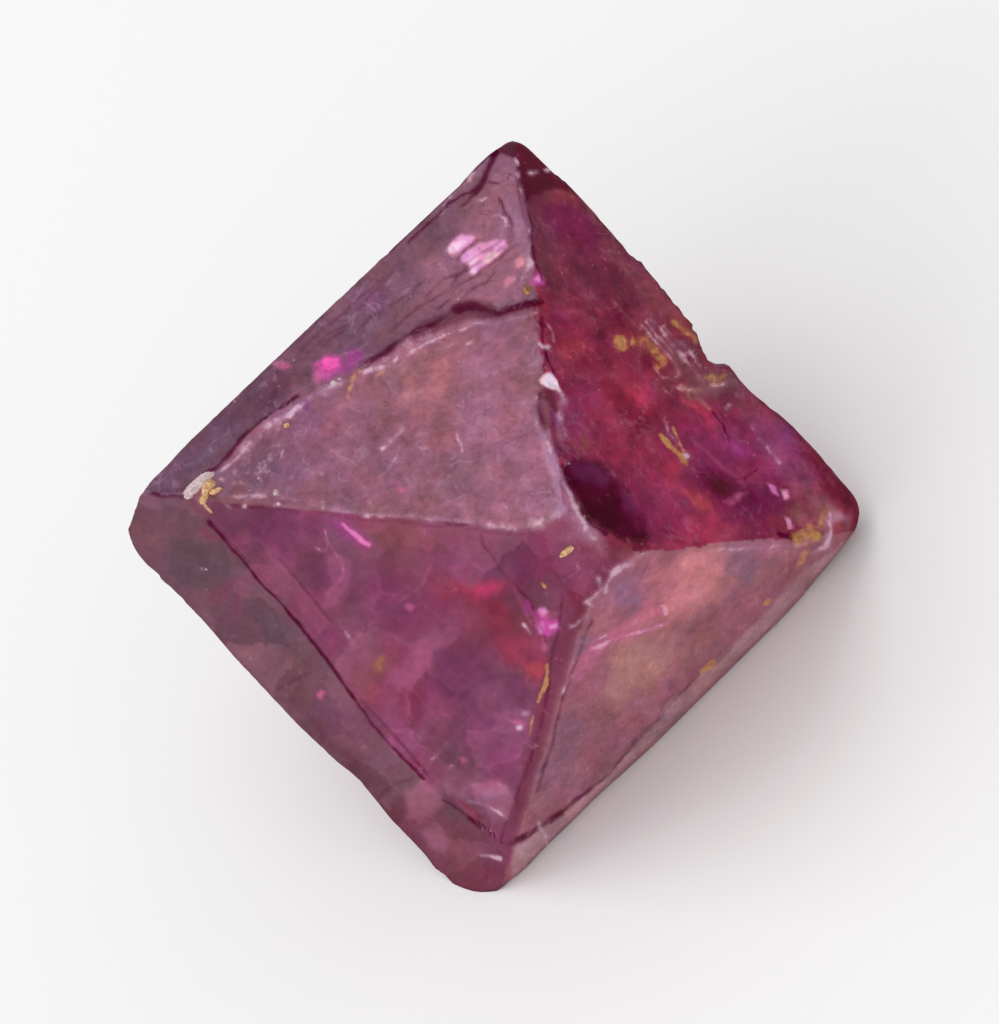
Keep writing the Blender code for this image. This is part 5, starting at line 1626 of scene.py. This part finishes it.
def spinel_finish():
    """Clear tinted crystal seen through a cloudy, frosted and scratched skin."""
    finish = Finish("cloudy_spinel")
    tint = finish.painted("tint", "Color")
    pale, dark, stain = (finish.painted(name) for name in ("pale", "dark", "stain"))
    cloud, frost = finish.painted("cloud"), finish.painted("frost")

    grains = finish.noise(0.13, 4.0, roughness=0.6)
    mottle = finish.noise(0.42, 6.0, roughness=0.66)
    drift = finish.noise(0.95, 5.0, roughness=0.6)
    fibres = finish.strokes(-59.0, 0.24, 0.07, 3.0)
    curls = finish.noise(0.62, 2.0, distortion=1.0)
    curls = finish.step(finish.size_of(curls - 0.5), 0.04, 0.0)
    cracks = finish.noise(0.60, 2.0, distortion=1.2, seed=9.0)
    cracks = finish.step(finish.size_of(cracks - 0.5), 0.03, 0.0)
    dust = finish.step(finish.speckle(0.30), 0.13, 0.05)
    fibrous = finish.step(frost, 0.62, 0.82) * finish.step(cloud, 0.95, 0.905)
    outside_window = finish.step(cloud, 0.96, 0.92)
    open_skin = outside_window * finish.step(frost, 0.30, 0.60)

    lively = finish.step(frost, 0.25, 0.70, 0.60, 1.0)
    tone = 1.0 + lively * (1.05 * (mottle - 0.5) + 0.70 * (grains - 0.5))
    colour = finish.blend(1.0, tint, tone, "MULTIPLY")
    hue = finish.blend(finish.step(drift, 0.35, 0.65), tint_of("warm drift"), tint_of("cool drift"))
    colour = finish.blend(lively, colour, hue, "MULTIPLY")
    colour = finish.blend(0.18 * fibrous * finish.step(fibres, 0.46, 0.30), colour, tint_of("dark fibre"))
    colour = finish.blend(0.12 * fibrous * finish.step(fibres, 0.55, 0.74), colour, tint_of("pale fibre"))
    pale_curls = open_skin * curls * finish.step(drift + 0.6 * (mottle - 0.5), 0.48, 0.60)
    dark_curls = open_skin * cracks * finish.step(drift + 0.6 * (mottle - 0.5), 0.52, 0.40)
    colour = finish.blend((0.22 - 0.12 * fibrous) * pale_curls, colour, tint_of("pale curl"))
    colour = finish.blend(0.26 * dark_curls, colour, tint_of("dark crack"))

    shade_and_crack_mask = finish.step(dark + 0.9 * (mottle - 0.5), 0.25, 0.75)
    wear_and_highlight_mask = finish.step(pale + 2.2 * (mottle - 0.5), 0.30, 0.85)
    stain_mask = finish.step(stain + 0.9 * (mottle - 0.5) + 0.5 * (grains - 0.5), 0.22, 0.85)
    dusty = finish.step(frost + 0.5 * pale + 2.0 * (mottle - 0.5), 0.50, 1.00)
    dust_mask = dust * outside_window * dusty
    rust = finish.blend(finish.step(grains, 0.30, 0.70), tint_of("rust"), tint_of("rust light"))
    # Painted shade in the grooves and at the ledges' feet, with dark cracks
    colour = finish.blend(0.40 * shade_and_crack_mask, colour, tint_of("groove"))
    # Worn whitish ridges and bruises, with the nose's painted highlight
    colour = finish.blend(0.60 * wear_and_highlight_mask, colour, tint_of("worn white and highlight"))
    colour = finish.blend((0.42 - 0.27 * fibrous) * dust_mask, colour, tint_of("dust"))
    colour = finish.blend(0.85 * stain_mask, colour, rust)

    height = 0.8 * frost * grains + 0.20 * pale - 0.30 * dark
    inputs = {"Strength": 0.45, "Distance": BUMP_HEIGHT, "Height": height}
    bump = finish.node("ShaderNodeBump", None, inputs)
    rough = finish.step(frost + 0.8 * (grains - 0.5), 0.0, 1.0, 0.10, 0.40)
    rough = rough + 0.22 * wear_and_highlight_mask + 0.30 * stain_mask

    clear = finish.surface({
        "Base Color": tint_of("clear crystal"),
        "Roughness": rough,
        "IOR": SPINEL_IOR,
        "Transmission Weight": 1.0,
        "Normal": bump,
    })
    cloudy = finish.surface({
        "Base Color": colour,
        "Roughness": rough,
        "IOR": SPINEL_IOR,
        "Specular IOR Level": 0.0,
        "Normal": bump,
    })
    share = cloud + 0.2 * wear_and_highlight_mask + 0.4 * stain_mask + 0.2 * shade_and_crack_mask
    surface = finish.node("ShaderNodeMixShader", None, {0: share, 1: clear, 2: cloudy})
    inputs = {"Color": tint_of("crystal depth"), "Density": SPINEL_DENSITY}
    return finish.finished(surface, finish.node("ShaderNodeVolumeAbsorption", None, inputs))


def crumb_finish():
    """Chalky white matrix with rusty sides."""
    finish = Finish("chalky_matrix")
    grains = finish.noise(0.07, 4.0)
    drifts = finish.noise(0.30, 3.0)
    rust = finish.step(finish.painted("rust") + 0.8 * (drifts - 0.5) + 0.5 * (grains - 0.5), 0.35, 0.65)
    chalk = finish.blend(finish.step(grains, 0.3, 0.7), tint_of("chalk"), tint_of("chalk light"))
    ochre = finish.blend(finish.step(grains, 0.3, 0.7), tint_of("ochre crumb"), tint_of("ochre crumb light"))
    inputs = {"Strength": 0.5, "Distance": BUMP_HEIGHT, "Height": grains}
    bump = finish.node("ShaderNodeBump", None, inputs)
    colour = finish.blend(rust, chalk, ochre)
    inputs = {"Base Color": colour, "Roughness": 0.75, "Normal": bump}
    return finish.finished(finish.surface(inputs))


def floor_finish():
    """Plain pale grey, a little uneven in tone."""
    finish = Finish("pale_floor")
    drifts = finish.noise(40.0, 2.0)
    colour = finish.blend(drifts, tint_of("floor"), tint_of("floor light"))
    inputs = {"Base Color": colour, "Roughness": 0.7, "Specular IOR Level": 0.2}
    return finish.finished(finish.surface(inputs))


# Pieces


def make_crystal(material):
    """The crystal itself, which stands for the whole solid."""
    crystal = object_from("spinel_skin", even_octahedron(), material)
    points = points_of(crystal.data)
    directions = points / np.linalg.norm(points, axis=1)[:, None]
    reach, kinds, ridge_gap = crystal_surface(directions)
    points = directions * reach[:, None]
    for _ in range(OUTLINE_PASSES):
        points = follow_outline(points)
    paint_crystal(crystal.data, points, kinds, ridge_gap)
    # The lowest points rest on the floor and don't dip under it
    places = to_world(points)
    places[:, 2] = np.maximum(places[:, 2], 0.0)
    set_points(crystal.data, places)
    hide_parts(NODE)
    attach(crystal, BODY)


# Crumbs and grains grown on or stuck to the skin: name, pixel, face, drop, half sizes, turn, rust
CRUMBS = (
    ("matrix_crumb", (205, 486), UPPER_LEFT, 0.06, (0.38, 0.15, 0.13), 40.0, 0.0),
    ("matrix_end", (195, 495), UPPER_LEFT, 0.06, (0.13, 0.09, 0.08), 40.0, 0.0),
    ("matrix_knob", (217, 477), UPPER_LEFT, 0.06, (0.12, 0.08, 0.09), 20.0, 0.1),
    ("ochre_knob", (214, 488), UPPER_LEFT, 0.04, (0.19, 0.12, 0.12), 66.0, 1.0),
    ("ochre_side", (221, 492), UPPER_LEFT, 0.04, (0.16, 0.06, 0.08), 8.0, 0.9),
    ("ochre_foot", (210, 499), UPPER_LEFT, 0.04, (0.15, 0.07, 0.08), 75.0, 0.9),
    ("ochre_root", (213, 508), LOWER_LEFT, 0.04, (0.15, 0.035, 0.05), -60.0, 0.9),
    ("white_grain", (337, 386), UPPER_LEFT, 0.04, (0.09, 0.06, 0.06), -20.0, 0.0),
    ("white_speck", (340, 380), UPPER_LEFT, 0.04, (0.05, 0.05, 0.05), 0.0, 0.1),
    ("ochre_grain", (290, 427), UPPER_LEFT, 0.03, (0.07, 0.06, 0.06), 0.0, 0.8),
    ("ridge_speck", (279, 494), UPPER_LEFT, 0.01, (0.055, 0.055, 0.05), 0.0, 0.0),
    ("ridge_grain", (278, 504), LOWER_LEFT, 0.0, (0.05, 0.04, 0.04), 0.0, 0.0),
    ("strip_speck", (203, 569), LOWER_LEFT, 0.09, (0.045, 0.045, 0.04), 0.0, 0.0),
    ("tan_flake", (563, 550), UPPER_LEFT, 0.88, (0.19, 0.095, 0.08), 30.0, 1.0),
    ("corner_speck", (139, 551), LOWER_LEFT, 0.10, (0.05, 0.04, 0.04), 0.0, 0.0),
)


def make_crumb(name, pixel, face, drop, sizes, turn, rust, material):
    """One lumpy grain, half sunk into the skin."""
    bm = bmesh.new()
    bmesh.ops.create_icosphere(bm, subdivisions=4, radius=1.0)
    crumb = object_from(name, bm, material)
    shape = points_of(crumb.data)
    seed = pixel[0] * 0.13
    lump = 1.0 + 0.22 * grain(shape, 0.9, 4, seed) + 0.05 * grain(shape, 0.2, 2, seed + 3.0)
    way = unit(on_face(pixel, face, drop))
    reach = crystal_surface(way[None])[0][0]
    points = reach * way + (shape * lump[:, None] * sizes) @ seen_axes(face, turn)
    store(crumb.data, "rust", rust + 0.3 * grain(shape, 0.8, 2, seed + 7.0))
    set_points(crumb.data, to_world(points))
    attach(crumb, BODY)


# Floor, light and camera

# The floor's half side and the height that the panels aim at, in metres, and the white tent's brightness
FLOOR_HALF = 1.2
PANEL_AIM = 5.0 * MM
TENT_BRIGHTNESS = 0.78

# The panels: direction, distance, sides in metres and brightness
PANELS = {
    "top_panel": ((-0.20, 0.25, 0.95), 0.40, (0.30, 0.30), 1.5),
    "left_panel": ((-0.80, -0.30, 0.50), 0.40, (0.26, 0.26), 1.5),
}


def make_floor(material):
    """A wide plain floor under the crystal."""
    bm = bmesh.new()
    bmesh.ops.create_grid(bm, x_segments=2, y_segments=2, size=FLOOR_HALF)
    floor = object_from("floor", bm, material)


def add_softbox(name, direction, away, size, brightness):
    """An even white panel that faces the crystal; its brightness is its radiance."""
    panel = bpy.data.lights.new(name, "AREA")
    panel.shape = "RECTANGLE"
    panel.size, panel.size_y = size
    panel.energy = brightness * math.pi * size[0] * size[1]
    place = Vector(direction).normalized() * away
    lamp = bpy.data.objects.new(name, panel)
    lamp.location = place + Vector((0.0, 0.0, PANEL_AIM))
    lamp.rotation_euler = place.to_track_quat("Z", "Y").to_euler()
    bpy.context.scene.collection.objects.link(lamp)


def light_scene():
    """A white tent all round, with brighter panels over it and on the left."""
    world = bpy.data.worlds.new("white_tent")
    world.use_nodes = True
    background = world.node_tree.nodes["Background"]
    background.inputs["Color"].default_value = (1.0, 1.0, 1.0, 1.0)
    background.inputs["Strength"].default_value = TENT_BRIGHTNESS
    bpy.context.scene.world = world
    for name, panel in PANELS.items():
        add_softbox(name, *panel)


def place_camera():
    """A long lens at the photograph's angle, with the crystal where its frame has it."""
    camera = bpy.data.cameras.new("camera")
    camera.sensor_width = SENSOR
    camera.lens = SENSOR * CAMERA_AWAY / (FRAME_HEIGHT * PIXEL)
    camera.clip_start = 0.01
    camera.clip_end = 10.0
    across = (0.5 * FRAME_WIDTH - VIEW_CENTRE[0]) * PIXEL
    up = (VIEW_CENTRE[1] - 0.5 * FRAME_HEIGHT) * PIXEL
    place = to_world(VIEW.T @ (across, up, CAMERA_AWAY))
    matrix = Matrix((WORLD @ VIEW.T).tolist()).to_4x4()
    matrix.translation = Vector(place)
    viewer = bpy.data.objects.new("camera", camera)
    viewer.matrix_world = matrix
    bpy.context.scene.collection.objects.link(viewer)
    bpy.context.scene.camera = viewer


def main():
    """Makes the crystal with its crumbs, and the floor, light and camera round it."""
    make_crystal(spinel_finish())
    chalk = crumb_finish()
    for crumb in CRUMBS:
        make_crumb(*crumb, chalk)
    make_floor(floor_finish())
    light_scene()
    place_camera()
    bpy.context.scene.view_settings.view_transform = "Standard"


main()
